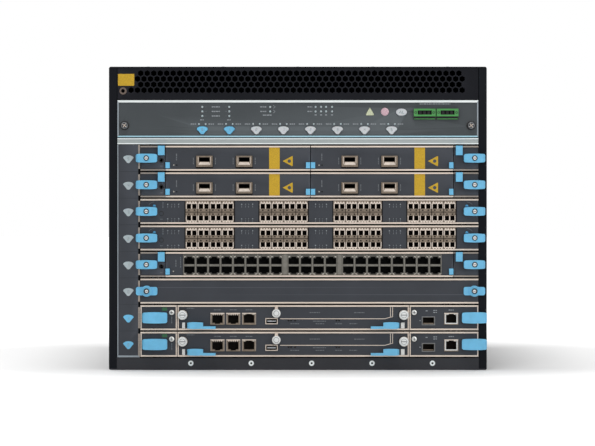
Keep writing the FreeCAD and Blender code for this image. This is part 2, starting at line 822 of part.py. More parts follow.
def tray(bay, foot_left, foot_right):
    """A card's sheet tray with its board, rear connectors and the wall behind its module bay."""
    sheet = ("tray_lift", "tray_top")
    start = "front + face_thick"
    board_front = f"front + {bay} + 8"
    board = ("tray_left + board_inset", "tray_right - board_inset")
    parts = [
        box(("tray_left", "tray_right"), (f"{start} + fit_gap", "card_rear"), sheet),
        box(("tray_left + 2", foot_left), (start, f"{start} + 8"), sheet),
        box((foot_right, "tray_right"), (start, f"{start} + 8"), sheet),
        box(board, (board_front, "card_rear - 4"), ("board_lift", "board_lift + board_thick")),
        box(board, (f"{board_front} - 6", board_front), ("tray_lift", "card_height - 3")),
    ]
    for x in ("tray_left + board_inset + 8", "tray_right - board_inset - 8"):
        for y in (f"{board_front} + 20", "card_rear - 40"):
            parts.append(rod("z", "standoff_radius", x, y, ("tray_lift", "board_lift + 1")))
    for index in range(4):
        parts.append(box(header_stretch(index), ("card_rear - connector_depth", "card_rear"),
                         ("board_lift - 2", "board_lift - 2 + connector_height")))
    return parts


def slot_base(slot):
    return f"cage_bottom + {slot} * slot_pitch"


def finish_card(name, slot, parts, cuts, hinges, length="lever_length", height="lever_height", screw=True):
    """Hang the two levers on a card's leaves, and cut what is open in it."""
    for side, (x, root) in hinges:
        leaf, bore = tongue(side, x, "card_height / 2", "lever_radius", root)
        parts = parts + leaf
        cuts = cuts + [bore]
        place = "left" if side < 0 else "right"
        card_lever(f"{name}_{place}_lever", side, x, f"{slot_base(slot)} + card_height / 2",
                   length, height, screw)
    node(f"{name}_card", carve(join(parts), cuts), z=slot_base(slot))


def bay_frame(left, right, bay, sides=False):
    """The part of a card that stands on both sides of a module bay."""
    parts = face(("card_left", f"card_left + {left}"), sides)
    parts += face((f"card_right - {right}", "card_right"), sides)
    return parts + tray(bay, f"card_left + {left} - 2", f"card_right - {right} + 2")


def modular_card(name, slot):
    """A line card's carrier with its blue side tabs and a peephole at the left."""
    parts = bay_frame("end_width", "end_width", "bay_depth")
    tab_z = ("card_height - tall_tab_height", "card_height")
    for edge, side, gap in (("card_left + end_width", -1, "tall_tab_gap_left"),
                            ("card_right - end_width", 1, "tall_tab_gap_right")):
        tab_x = along(edge, side, gap, f"{gap} + tall_tab_width")
        parts.append(box(tab_x, ("front - tall_tab_reach", "front"), tab_z))
    peephole = rod("y", 2, "card_left + end_width - 4", ("front - 1", "front + face_thick + 1"), 12)
    finish_card(name, slot, parts, [peephole], [(side, hinge(side)) for side in (-1, 1)])


def module_shell(x, depth, sides=False):
    """A plug-in module: its face and the closed case behind it."""
    left, right = x
    case = box((f"{left} + 2", f"{right} - 2"), ("front + face_thick", f"front + {depth}"),
               ("tray_top + fit_gap", "card_height - 2.5"))
    return face(x, sides) + [case]


def small_tabs(x):
    left, right = x
    y = ("front - small_tab_reach", "front")
    z = ("small_tab_lift", "small_tab_lift + small_tab_height")
    return [box((left, f"{left} + small_tab_width"), y, z),
            box((f"{right} - small_tab_width", right), y, z)]


def optical_module(label, slot, left, width):
    """A half-width module with two optical cages."""
    x = (left, f"{left} + {width}")
    parts = module_shell(x, "bay_depth") + small_tabs(x)
    slots = []
    for index in range(2):
        centre = f"{left} + cage_first + {index} * cage_pitch"
        parts.append(box(about(centre, "cage_width"), ("front - cage_reach", "front"),
                         ("cage_lift", "cage_lift + cage_height")))
        slots.append(box(about(centre, "cage_slot_width"), ("front - cage_reach - 1", "front + 3 * socket_depth"),
                         ("cage_slot_lift", "cage_slot_lift + cage_slot_height")))
    node(label, carve(join(parts), slots), z=slot_base(slot))


def duplex_card(name, slot):
    """A fixed card with four groups of eight pluggable ports, each with a duplex plug face."""
    parts = face(("card_left", "card_right")) + tray(24, "card_left + end_width", "card_right - end_width")
    holes = []
    for cluster in range(4):
        left = f"card_left + port_margin + {cluster} * port_group_pitch"
        parts.append(box((left, f"{left} + port_group"), ("front - port_reach", "front + socket_depth"),
                         ("port_block_margin", "card_height - port_block_margin")))
        for column in range(4):
            for half in (-0.5, 0.5):
                middle = f"{left} + port_pitch * {column + 0.5} + {half} * port_hole_pitch"
                x = about(middle, "port_hole_width")
                for row in ("port_low_row", "port_high_row"):
                    holes.append(box(x, ("front - port_reach - 1", "front + socket_depth - 3"),
                                     (row, f"{row} + port_hole_height")))
    finish_card(name, slot, parts, holes, [(side, hinge(side)) for side in (-1, 1)])


def jack_hole(centre, low, up, y, width="copper_width", height="copper_height"):
    """A copper jack's opening, with its latch notch above or below."""
    notch = (f"{low} + {height}", f"{low} + {height} + copper_notch_height")
    if not up:
        notch = (f"{low} - copper_notch_height", low)
    return [box(about(centre, width), y, (low, f"{low} + {height}")),
            box(about(centre, "copper_notch_width"), y, notch)]


def copper_module(label, slot):
    """The full-width module with forty copper jacks in stacked pairs."""
    left = "card_left + end_width + module_gap"
    x = (left, f"{left} + wide_module")
    block_left = f"{left} + copper_margin"
    parts = module_shell(x, "bay_depth") + small_tabs(x)
    block = (block_left, f"{left} + wide_module - copper_margin_right")
    parts.append(box(block, ("front - copper_reach", "front"),
                     ("rim_height / 2", "card_height - rim_height")))
    parts.append(box(block, ("front", "front + socket_depth + 4"),
                     ("tray_top + fit_gap", "card_height - 2.6")))
    holes = []
    for column in range(20):
        dividers = (column >= 8) + (column >= 12)
        centre = f"{block_left} + copper_pitch * {column + 0.5} + copper_divider * {dividers}"
        y = ("front - copper_reach - 1", "front + socket_depth")
        holes += jack_hole(centre, "copper_middle + copper_split / 2", True, y)
        holes += jack_hole(centre, "copper_middle - copper_split / 2 - copper_height", False, y)
    node(label, carve(join(parts), holes), z=slot_base(slot))


def blank_panel(label, slot):
    """A filler panel with a wing and a captive screw at each end."""
    parts = face(("card_left", "card_right"))
    parts.append(box(("tray_left", "tray_right"), ("front + face_thick", "front + 3 * socket_depth"),
                     ("tray_lift", "tray_top")))
    for side, edge, overhang in ((-1, "card_left", "lever_overhang_left"), (1, "card_right", "lever_overhang")):
        outer = f"({edge} + {side} * {overhang})"
        boss = f"{outer} - {side} * lever_length / 2"
        wing = [
            box(along(outer, -side, 0, "lever_length"), ("front - lever_gap - 2", "front - lever_gap"),
                about("card_height / 2", "lever_height - lever_bow")),
            box(along(outer, -side, f"{overhang} + 1", "lever_length"), ("front - lever_gap", "front"),
                about("card_height / 2", "lever_height - lever_bow")),
        ]
        wastes = end_wastes(outer, f"{outer} - {side} * lever_length", side, "card_height / 2",
                            "lever_height / 2 - lever_bow / 2", ("front - 2 * lever_radius", "front"))
        parts.append(carve(join(wing), wastes))
        parts.append(rod("y", "2 * screw_radius", boss, ("front - lever_gap - 4", "front"), "card_height / 2"))
        parts.append(rod("y", "screw_radius", boss, ("front - lever_gap - 8", "front"), "card_height / 2"))
    node(label, join(parts), z=slot_base(slot))


def shroud(centre, low, width, height, wall="socket_wall"):
    """The metal collar of a socket."""
    return box(about(centre, f"{width} + 2 * {wall}"), (f"front - {wall} / 2", "front + socket_depth + 2"),
               (f"{low} - {wall}", f"{low} + {height} + {wall}"))


SOCKET_Y = ("front - socket_wall", "front + socket_depth")


def fabric_card(name, slot):
    """A fabric carrier: levers at both ends, a pluggable port and a console jack at the right."""
    parts = bay_frame("fabric_left", "fabric_right", "management_depth", True)
    pluggable = "card_right - pluggable_inset"
    console = "card_right - console_inset"
    parts.append(shroud(pluggable, "pluggable_lift", "pluggable_width", "pluggable_height",
                        "pluggable_wall"))
    parts.append(shroud(console, "socket_lift", "socket_width", "socket_height"))
    for x in ("card_left + fabric_left - 6", "card_right - fabric_right + 5.4"):
        parts.append(rod("y", "fabric_screw_radius", x, ("front - 2", "front"), "fabric_screw_lift"))
    cuts = [box(about(pluggable, "pluggable_width"), SOCKET_Y,
                ("pluggable_lift", "pluggable_lift + pluggable_height"))]
    cuts += jack_hole(console, "socket_lift", True, SOCKET_Y, "socket_width", "socket_height")
    finish_card(name, slot, parts, cuts, [(side, fabric_hinge(side)) for side in (-1, 1)],
                "fabric_lever_length", "fabric_lever_height", False)


def management_module(name, slot):
    """The processor module of a fabric card, with its sockets, thumbscrews and two ejectors."""
    left = "(card_left + fabric_left + module_gap)"
    right = "(card_right - fabric_right - module_gap)"
    parts = module_shell((left, right), "management_depth", True)
    cuts = []
    for index in range(3):
        centre = f"{left} + socket_first + {index} * socket_pitch"
        parts.append(shroud(centre, "socket_lift", "socket_width", "socket_height"))
        cuts += jack_hole(centre, "socket_lift", index == 2, SOCKET_Y, "socket_width", "socket_height")
    usb = f"{left} + usb_first"
    parts.append(box(about(usb, "usb_width + 2"), ("front - 1", "front + socket_depth + 2"),
                     ("usb_lift - 1", "usb_lift + usb_height + 1")))
    cuts.append(box(about(usb, "usb_width"), SOCKET_Y, ("usb_lift", "usb_lift + usb_height")))
    parts.append(rod("y", "latch_radius", f"{left} + latch_first", ("front - latch_reach", "front"), "latch_lift"))
    for side, edge in ((-1, left), (1, right)):
        screw = f"{edge} - {side} * thumb_inset"
        parts.append(rod("y", "thumb_radius", screw, ("front - thumb_reach", "front"), "thumb_lift"))
        x = f"({edge} - {side} * (ejector_inset + ejector_radius))"
        leaf, bore = tongue(side, x, "ejector_lift", "ejector_radius", "pin_radius", "ejector_gap")
        parts += leaf
        cuts.append(bore)
        place = "left" if side < 0 else "right"
        ejector(f"{name}_{place}_ejector", side, x, f"{slot_base(slot)} + ejector_lift")
    node(f"{name}_management_module", carve(join(parts), cuts), z=slot_base(slot))


# ---------------------------------------------------------------- what goes in from the rear

def pull(x, z):
    """A solid grip block on a rear panel."""
    return box(about(x, "pull_width"), ("rear - 1", "rear + pull_reach"), about(z, "pull_height"))


def fan_tray():
    """The fan tray: a frame with round apertures, each with a hub on cross struts."""
    x = ("fan_left", "fan_right")
    z = ("sheet_wall + fit_gap", "deck_top - sheet_wall - fit_gap")
    middle = "deck_top / 2"
    start = "(front + post_depth + 4)"
    pitch_y = f"((rear - {start}) / fan_columns)"
    frame = box(x, (start, "rear"), z)
    apertures = []
    inner = []
    for row in range(SIZES["fan_rows"]):
        for column in range(SIZES["fan_columns"]):
            y = f"{start} + {column + 0.5} * {pitch_y}"
            height = f"{middle} + ({row} - (fan_rows - 1) / 2) * (2 * fan_radius + 8)"
            apertures.append(rod("x", "fan_radius", ("fan_left - 1", "fan_right + 1"), y, height))
            inner.append(rod("x", "fan_hub", ("fan_left + 4", "fan_right - 4"), y, height))
            for wide, high in (("fan_strut", "2 * fan_radius + 2"), ("2 * fan_radius + 2", "fan_strut")):
                inner.append(box(("fan_left + 6", "fan_left + 9"), about(y, wide), about(height, high)))
    grip = pull("(fan_left + fan_right) / 2", middle)
    node("fan_tray", join([carve(frame, apertures)] + inner + [grip]))


def air_filter():
    """The air filter: a frame around a thin sheet of media, with a rear panel."""
    x = ("filter_left", "filter_right")
    start = "front + post_depth + 4"
    z = ("sheet_wall + fit_gap", "deck_top - sheet_wall - fit_gap")
    frame = box(x, (start, "rear"), z)
    hollow_y = (f"{start} + filter_frame", "rear - filter_frame")
    hollow_z = (f"{z[0]} + filter_frame", f"{z[1]} - filter_frame")
    middle = "(filter_left + filter_right) / 2"
    faces = [
        box(("filter_left - 1", f"{middle} - filter_media / 2"), hollow_y, hollow_z),
        box((f"{middle} + filter_media / 2", "filter_right + 1"), hollow_y, hollow_z),
    ]
    node("air_filter", join([carve(frame, faces), pull(middle, "deck_top / 2")]))


def supply_left(index):
    return f"(supply_gap - inner_half + {index} * (supply_width + supply_gap))"


def power_supply(index):
    """A power supply: a closed case with an inlet, a rocker switch and a grip at the rear."""
    left = supply_left(index)
    centre = f"{left} + supply_width / 2"
    z = ("deck_top + fit_gap", "cover_bottom - 2 * fit_gap")
    case = box((left, f"{left} + supply_width"), ("supply_front", "rear"), z)
    grip = box(about(centre, "supply_pull_width"), ("rear - 1", "rear + pull_reach"),
               ("deck_top + supply_pull_lift", "deck_top + supply_pull_lift + supply_pull_height"))
    rocker = box(about(f"{left} + supply_width * 3 / 4", 14), ("rear - 1", "rear + 3"),
                 ("deck_top + inlet_lift", "deck_top + inlet_lift + inlet_height"))
    inlet = box(about(f"{left} + supply_width / 4", "inlet_width"), ("rear - inlet_depth", "rear + 1"),
                ("deck_top + inlet_lift", "deck_top + inlet_lift + inlet_height"))
    node(f"power_supply_{index}", carve(join([case, grip, rocker]), [inlet]))


# ---------------------------------------------------------------- assembly

def build_parts():
    base_pan()
    side_panel("left_side_panel", -1)
    side_panel("right_side_panel", 1)
    top_cover()
    rear_bulkhead()
    power_deck()
    midplane()
    card_guides()
    intake_grille()
    craft_panel()
    keys()
    alarm_terminals()
    slot_label_strip()
    first_bay = "(card_left + end_width + module_gap)"
    second_bay = f"({first_bay} + left_module_width + module_gap)"
    for name, slot in (("slot5", 7), ("slot4", 6)):
        modular_card(name, slot)
        optical_module(f"{name}_left_module", slot, first_bay, "left_module_width")
        optical_module(f"{name}_right_module", slot, second_bay, "right_module_width")
    duplex_card("slot3", 5)
    duplex_card("slot2", 4)
    modular_card("slot1", 3)
    copper_module("slot1_copper_module", 3)
    blank_panel("slot0_blank_panel", 2)
    for name, slot in (("fabric1", 1), ("fabric0", 0)):
        fabric_card(name, slot)
        management_module(name, slot)
    fan_tray()
    air_filter()
    for index in range(4):
        power_supply(index)


def check_and_export():
    DOC.recompute()
    for part in DOC.Objects:
        if "Invalid" in part.State or "Error" in part.State:
            raise RuntimeError(f"{part.Label} did not build: {part.State}")
    for part in NODES:
        if part.Shape.isNull() or not part.Shape.isValid():
            raise RuntimeError(f"{part.Label} has no valid shape")
    os.makedirs("parts", exist_ok=True)
    for part in NODES:
        part.Shape.exportStep(f"parts/{part.Label}.step")


PLACE = make_sheet()
build_parts()
check_and_export()
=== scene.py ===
"""Looks of the modular chassis switch: finishes, small trim, camera and light.

Sizes are millimetres, turned into metres where a mesh is made. The front faces -Y and +Z is up.
"""
import math

import bmesh
import bpy
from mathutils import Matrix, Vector


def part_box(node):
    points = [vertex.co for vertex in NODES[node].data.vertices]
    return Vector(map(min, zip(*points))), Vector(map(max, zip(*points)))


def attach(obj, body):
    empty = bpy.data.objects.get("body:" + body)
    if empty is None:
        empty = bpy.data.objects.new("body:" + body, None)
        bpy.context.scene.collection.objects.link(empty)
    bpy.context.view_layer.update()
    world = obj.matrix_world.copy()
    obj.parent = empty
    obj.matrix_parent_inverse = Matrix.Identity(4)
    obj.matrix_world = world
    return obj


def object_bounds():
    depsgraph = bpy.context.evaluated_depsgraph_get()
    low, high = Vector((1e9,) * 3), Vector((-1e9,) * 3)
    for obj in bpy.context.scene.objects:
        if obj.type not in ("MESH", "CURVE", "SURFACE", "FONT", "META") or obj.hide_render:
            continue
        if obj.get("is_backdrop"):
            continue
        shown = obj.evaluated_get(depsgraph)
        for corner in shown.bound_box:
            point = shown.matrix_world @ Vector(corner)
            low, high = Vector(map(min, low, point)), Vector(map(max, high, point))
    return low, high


MM = 0.001
EDGE = 0.05  # margin round a face's plane
CARD_HEIGHT, SLOT_PITCH = 29.0, 31.0
RIM_HEIGHT, RIM_REACH, SIDE_RIM_REACH, FACE_THICK = 1.8, 1.5, 0.7, 2.0
SOCKET_DEPTH, SOCKET_REACH_IN = 14.5, 43.0
SCREW_REACH, RIVET_REACH, PULL_REACH = 0.8, 0.8, 10.8
CRAFT_RIM, CRAFT_TOP_RIM, CRAFT_SCREW_HEIGHT = 1.6, 2.6, 13.5
END_WIDTH = 28.35
FABRIC_BAY = (42.4, 80.2)  # from the card's two ends
PORT_PITCH, PORT_GROUP, PORT_START, PORT_STEP = 14.1, 56.4, 52.6, 86.27
PORT_FACE, CAGE_FACE, SOCKET_FACE, BLANK_SCREW_FACE = 1.2, 2.2, 1.05, 8.9  # proud of a card's face


# ---------------------------------------------------------------- names and places in the frame

MODULAR, FIXED, FABRICS = ("slot5", "slot4"), ("slot3", "slot2"), ("fabric1", "fabric0")
LINE_CARDS = (*MODULAR, *FIXED, "slot1")


def pair(card, part):
    """The names of a card's left and right part."""
    return [f"{card}_{side}_{part}" for side in ("left", "right")]


class Box:
    """A node's box at rest, in millimetres."""

    def __init__(self, node):
        low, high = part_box(node)
        self.left, self.front, self.bottom = (value / MM for value in low)
        self.right, self.back, self.top = (value / MM for value in high)
        self.x = (self.left + self.right) / 2
        self.z = (self.bottom + self.top) / 2


# ---------------------------------------------------------------- finishes

def add_node(tree, kind, values, wires, operation=None):
    """A shader node with its input values, wired to the outputs of other nodes."""
    node = tree.nodes.new(kind)
    if operation:
        node.operation = operation
    for key, value in values.items():
        node.inputs[key].default_value = value
    for key, output in wires.items():
        tree.links.new(output, node.inputs[key])
    return node


class Finish:
    """A node-based material under construction, with its pattern in object coordinates."""

    def __init__(self, name, colour, roughness, metallic=0.0):
        self.material = bpy.data.materials.new(name)
        self.material.use_nodes = True
        self.tree = self.material.node_tree
        self.shader = self.tree.nodes["Principled BSDF"]
        values = {"Base Color": (*colour, 1), "Roughness": roughness, "Metallic": metallic}
        for key, value in values.items():
            self.shader.inputs[key].default_value = value
        self.where = self.add("ShaderNodeTexCoord", {}, {}).outputs["Object"]

    def add(self, kind, values, wires, operation=None):
        return add_node(self.tree, kind, values, wires, operation)

    def shade(self, key, output):
        """Drive an input of the material's surface by a pattern."""
        self.tree.links.new(output, self.shader.inputs[key])

    def noise(self, size, detail=3.0, stretch=(1, 1, 1)):
        """Noise whose grains are about `size` millimetres, drawn out by `stretch`."""
        scale = [1 / (size * MM * part) for part in stretch]
        mapping = self.add("ShaderNodeMapping", {"Scale": scale}, {"Vector": self.where})
        wires = {"Vector": mapping.outputs["Vector"]}
        return self.add("ShaderNodeTexNoise", {"Scale": 1.0, "Detail": detail}, wires).outputs["Fac"]

    def cells(self, scale):
        return self.add("ShaderNodeTexVoronoi", {"Scale": scale}, {"Vector": self.where}).outputs

    def ramp(self, factor, stops):
        """A colour ramp through (position, colour) stops."""
        node = self.add("ShaderNodeValToRGB", {}, {"Fac": factor})
        for element, (position, colour) in zip(node.color_ramp.elements, stops):
            element.position = position
            element.color = (*colour, 1)
        return node.outputs["Color"]

    def tones(self, factor, colour, spread):
        """The base colour, a little darker and lighter by `spread` along a pattern."""
        low = [value * (1 - spread) for value in colour]
        high = [min(1, value * (1 + spread)) for value in colour]
        return self.ramp(factor, [(0.35, low), (0.65, high)])

    def gloss(self, factor, low, high):
        """Roughness between two values along a pattern."""
        level = self.add("ShaderNodeMapRange", {"To Min": low, "To Max": high}, {"Value": factor})
        self.shade("Roughness", level.outputs["Result"])

    def bump(self, factor, depth, strength):
        """Relief of `depth` millimetres along a pattern."""
        values = {"Distance": depth * MM, "Strength": strength}
        relief = self.add("ShaderNodeBump", values, {"Height": factor})
        self.shade("Normal", relief.outputs["Normal"])

    def worn(self, base, bare, threshold=0.54):
        """Lay a lighter tone over the base colour along sharp outer edges."""
        shape = self.add("ShaderNodeNewGeometry", {}, {}).outputs["Pointiness"]
        edge = self.ramp(shape, [(threshold, (0, 0, 0)), (threshold + 0.08, (1, 1, 1))])
        node = self.tree.nodes.new("ShaderNodeMix")
        node.data_type = "RGBA"
        node.inputs["B"].default_value = (*bare, 1)
        for output, key in ((edge, "Factor"), (base, "A")):
            self.tree.links.new(output, node.inputs[key])
        return node.outputs["Result"]


def linear(code):
    """A linear colour from a '#rrggbb' code."""
    parts = [int(code[at:at + 2], 16) / 255 for at in (1, 3, 5)]
    return [part / 12.92 if part <= 0.04045 else ((part + 0.055) / 1.055) ** 2.4 for part in parts]


def powder_coat(name, code, roughness=0.5, spread=0.12, shine=0.2):
    """Baked powder paint: orange-peel relief, cloudy tone and rubbed edges."""
    colour = linear(code)
    finish = Finish(name, colour, roughness)
    finish.shader.inputs["Specular IOR Level"].default_value = shine
    tone = finish.tones(finish.noise(38, 2), colour, spread)
    finish.shade("Base Color", finish.worn(tone, [min(1, value * 1.7 + 0.004) for value in colour]))
    finish.bump(finish.noise(0.9, 2), 0.05, 0.35)
    finish.gloss(finish.noise(14, 3), roughness - 0.06, roughness + 0.08)
    return finish.material


def sheet_metal(name, code, roughness, metallic=0.85, grain=(26, 1, 1), spread=0.12):
    """Plated sheet: rolling grain along one axis, a cloudy tone and fine scratches."""
    colour = linear(code)
    finish = Finish(name, colour, roughness, metallic)
    streak = finish.noise(0.7, 4, grain)
    finish.shade("Base Color", finish.tones(streak, colour, spread))
    finish.gloss(finish.noise(5, 4, grain), roughness - 0.08, roughness + 0.12)
    finish.bump(streak, 0.02, 0.3)
    return finish.material


def spangle(name, code):
    """Galvanised sheet: crystal spangle in tone and gloss."""
    colour = linear(code)
    finish = Finish(name, colour, 0.42, 0.8)
    cells = finish.cells(120)
    finish.shade("Base Color", finish.tones(cells["Color"], colour, 0.14))
    finish.gloss(cells["Distance"], 0.34, 0.52)
    finish.bump(finish.noise(2.5, 3), 0.03, 0.3)
    return finish.material


def moulded(name, code, roughness):
    """Moulded plastic: fine spark-eroded grain, faint flow tone, softly scattering."""
    colour = linear(code)
    finish = Finish(name, colour, roughness)
    finish.shader.inputs["Subsurface Weight"].default_value = 0.04
    finish.shader.inputs["Subsurface Scale"].default_value = 0.001
    finish.shade("Base Color", finish.tones(finish.noise(9, 2), colour, 0.05))
    finish.bump(finish.noise(0.35, 2), 0.02, 0.4)
    finish.gloss(finish.noise(3, 3), roughness - 0.05, roughness + 0.08)
    return finish.material


def print_ink(name, code):
    """Screen-printed ink, a little thin in places."""
    colour = linear(code)
    finish = Finish(name, colour, 0.55)
    finish.shade("Base Color", finish.tones(finish.noise(0.5, 4), colour, 0.25))
    finish.bump(finish.noise(0.3, 2), 0.01, 0.3)
    return finish.material


def lamp_lens(name, code):
    """A clear coloured lens with a bright heart, unlit."""
    colour = linear(code)
    finish = Finish(name, colour, 0.15)
    finish.shader.inputs["Coat Weight"].default_value = 0.6
    finish.shader.inputs["Transmission Weight"].default_value = 0.15
    finish.shade("Base Color", finish.tones(finish.noise(1.2, 1), colour, 0.12))
    return finish.material


def circuit_board(name):
    """Solder mask over copper traces that show as raised paler lines."""
    finish = Finish(name, linear("#1d5a33"), 0.35)
    values = {"Scale": 160, "Mortar Size": 0.012, "Brick Width": 1.8, "Row Height": 0.4}
    for key, code in (("Color1", "#1a5230"), ("Color2", "#1f6038"), ("Mortar", "#3f8a55")):
        values[key] = (*linear(code), 1)
    traces = finish.add("ShaderNodeTexBrick", values, {"Vector": finish.where}).outputs
    finish.shade("Base Color", traces["Color"])
    finish.bump(traces["Fac"], 0.05, 0.4)
    return finish.material


def filter_foam(name):
    """Open-cell filter media."""
    finish = Finish(name, linear("#4a4c50"), 0.95)
    depth = finish.cells(500)["Distance"]
    finish.shade("Base Color", finish.ramp(depth, [(0.1, linear("#2a2b2e")), (0.7, linear("#606368"))]))
    finish.bump(depth, 0.6, 0.8)
    return finish.material


def make_finishes():
    """Every finish by its short name: material name and colour, then what its maker takes."""
    kinds = {
        powder_coat: (  # roughness, spread, shine
            ("chassis", "chassis_paint", "#0d0f13", 0.6, 0.12, 0.04),
            ("sill", "sill_paint", "#35363a", 0.55, 0.06),
            ("grille", "grille_paint", "#1a1b20", 0.5, 0.1, 0.08),
            ("craft", "craft_paint", "#484d50", 0.5, 0.05),
            ("card", "card_paint", "#3d4046", 0.5, 0.05),
            ("well", "well_paint", "#26282c", 0.6),
            ("deck", "deck_paint", "#8a9090", 0.45, 0.05),
            ("shade", "lip_shade", "#1d1a18", 0.6),
        ),
        sheet_metal: (  # roughness, metallic, grain, spread
            ("lip", "bare_lip", "#d6c8bb", 0.42, 0.35, (40, 1, 1), 0.1),
            # the bare lip metal darkened: painted shade
            ("lip_in_painted_shade", "shaded_lip", "#968c83", 0.45, 0.35, (40, 1, 1), 0.14),
            # bright metal with a painted highlight, for lit edges and rivet heads
            ("bright_metal_with_painted_highlight", "bright_metal_with_painted_highlight", "#e8eeee", 0.4, 0.2, (40, 1, 1), 0.06),
            ("painted_blue_reflection", "painted_blue_reflection", "#a2ccda", 0.4, 0.25, (40, 1, 1), 0.06),
            ("grey_edge", "grey_edge", "#8d969d", 0.45, 0.3, (1, 1, 30), 0.08),
            ("port", "port_metal", "#7d7062", 0.42, 0.5, (6, 1, 6), 0.16),
            ("brass", "dull_brass", "#6a5d55", 0.45, 0.6, (1, 1, 1), 0.2),
            ("jack_metal", "jack_metal", "#4a4843", 0.45, 0.4, (6, 1, 6), 0.16),
            ("jack_edge", "jack_edge", "#716e67", 0.45, 0.4, (6, 1, 6), 0.12),
            ("port_light", "port_light", "#d8cbbf", 0.4, 0.35, (6, 1, 6), 0.1),
            ("steel", "screw_steel", "#c9cac8", 0.3, 0.8, (1, 1, 1), 0.2),
            ("dim_steel", "dull_steel", "#6f7174", 0.4, 0.7, (1, 1, 1), 0.2),
            ("knob_face", "knob_face", "#dcdedd", 0.4, 0.3, (1, 1, 1), 0.08),
        ),
        moulded: (  # roughness
            ("jack_lamp", "jack_lamp", "#b3ada3", 0.4),
            ("badge", "badge_grey", "#adb9bd", 0.5),
            ("dark", "dark_plastic", "#121214", 0.6),
            # holes, sockets and gaps drawn black or brown: painted shade
            ("black_painted_shade", "cavity_painted_shade_black", "#050506", 0.85),
            ("brown_painted_shade", "cavity_painted_shade_brown", "#1a110a", 0.85),
            ("blue", "blue_plastic", "#6cbce4", 0.4),
            ("blue_painted_shade", "blue_in_shade", "#4f9bc4", 0.45),
            ("key", "key_plastic", "#c9cdd1", 0.45),
            ("green", "green_plastic", "#418f45", 0.45),
        ),
        print_ink: (
            ("badge_digit", "badge_digit", "#8a9498"),
            ("yellow", "yellow_film", "#c69f16"),
            ("ink", "light_ink", "#8f959a"),
            ("faint_ink", "faint_ink", "#62676c"),
        ),
        spangle: (
            ("zinc", "galvanised", "#a5a8ab"),
        ),
        lamp_lens: (
            ("pink_lens", "pink_lens", "#dcb6c2"),
            ("amber_lens", "amber_lens", "#d2d9b6"),
            ("clear_lens", "clear_lens", "#c9d0d0"),
        ),
        circuit_board: (
            ("board", "circuit_board"),
        ),
        filter_foam: (
            ("filter", "filter_media"),
        ),
    }
    return {key: build(*values) for build, rows in kinds.items() for key, *values in rows}


# ---------------------------------------------------------------- trim meshes

class Trim:
    """Small solids gathered into one piece, each face with its own finish.

    Places are measured right of `left` and above `bottom`. Depths say how far a face stands proud of `face`:
    towards the front, or towards the rear where `outward` is 1. A solid reaches from `proud` to `back`.
    """

    def __init__(self, left=0.0, bottom=0.0, face=None, outward=-1):
        self.mesh = bmesh.new()
        self.finishes = []
        self.left, self.bottom, self.outward = left, bottom, outward
        self.face = FRONT if face is None else face

    def vertex(self, corner):
        x, proud, z = corner
        place = Vector((self.left + x, self.face + self.outward * proud, self.bottom + z))
        return self.mesh.verts.new(place * MM)

    def loft(self, rings, finish, closed=True):
        """Skin a list of equal rings of corners, and cap its ends."""
        rows = [[self.vertex(corner) for corner in ring] for ring in rings]
        faces = []
        for row, following in zip(rows, rows[1:]):
            for at in range(len(row)):
                beside = (at + 1) % len(row)
                faces.append(self.mesh.faces.new((row[at], row[beside], following[beside], following[at])))
        if closed:
            faces.append(self.mesh.faces.new(rows[0][::-1]))
            faces.append(self.mesh.faces.new(rows[-1]))
        if finish not in self.finishes:
            self.finishes.append(finish)
        for face in faces:
            face.material_index = self.finishes.index(finish)

    def prism(self, outline, proud, finish, back=0.0, chamfer=0.0):
        """A flat shape of (x, z) corners between two depths, its outer edge chamfered inwards."""
        rings = [[(x, proud, z) for x, z in shrink(outline, chamfer)]] if chamfer else []
        rings += [[(x, depth, z) for x, z in outline] for depth in (proud - chamfer, back)]
        self.loft(rings, finish)

    def bar(self, x, z, proud, finish, back=0.0, chamfer=0.0):
        """A block from (low, high) pairs across and up."""
        self.prism([(x[0], z[0]), (x[1], z[0]), (x[1], z[1]), (x[0], z[1])], proud, finish, back, chamfer)

    def disc(self, x, z, radius, proud, finish, back=0.0, chamfer=0.0, sides=20):
        self.prism(circle(x, z, radius, sides), proud, finish, back, chamfer)

    def turned(self, x, z, profile, finish, sides=24, closed=True):
        """A turned shape about the Y direction, from (radius, depth) steps."""
        rings = [[(px, depth, pz) for px, pz in circle(x, z, radius, sides)] for radius, depth in profile]
        self.loft(rings, finish, closed)

    def ring(self, x, z, outer, inner, proud, finish, back=0.0):
        """A flat ring with a rounded outer edge."""
        edge = (outer - inner) / 4
        rim = proud + math.copysign(edge / 2, back - proud)
        profile = [(inner, back), (inner, rim), (inner + edge, proud), (outer - edge, proud), (outer, rim),
                   (outer, back), (inner, back)]
        self.turned(x, z, profile, finish, closed=False)

    def stroke(self, path, width, proud, finish, back=0.0):
        """A raised line of even width along a path of (x, z) points."""
        left, right = [], []
        for at, (x, z) in enumerate(path):
            before = Vector(path[max(at - 1, 0)])
            after = Vector(path[min(at + 1, len(path) - 1)])
            along = (after - before).normalized()
            side = Vector((-along.y, along.x)) * width / 2
            left.append((x + side.x, z + side.y))
            right.append((x - side.x, z - side.y))
        for at in range(len(path) - 1):
            self.prism([right[at], right[at + 1], left[at + 1], left[at]], proud, finish, back)

    def place(self, name, body, slot):
        """Turn the gathered solids into a piece on its body."""
        bmesh.ops.recalc_face_normals(self.mesh, faces=self.mesh.faces)
        data = bpy.data.meshes.new(name)
        self.mesh.to_mesh(data)
        self.mesh.free()
        for finish in self.finishes:
            data.materials.append(FINISHES[finish])
        piece = bpy.data.objects.new(name, data)
        bpy.context.scene.collection.objects.link(piece)
        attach(piece, body)


def about(middle, half):
    """The (low, high) pair at both sides of a middle."""
    return middle - half, middle + half


def circle(x, z, radius, sides=20):
    turns = [2 * math.pi * at / sides for at in range(sides)]
    return [(x + radius * math.cos(turn), z + radius * math.sin(turn)) for turn in turns]


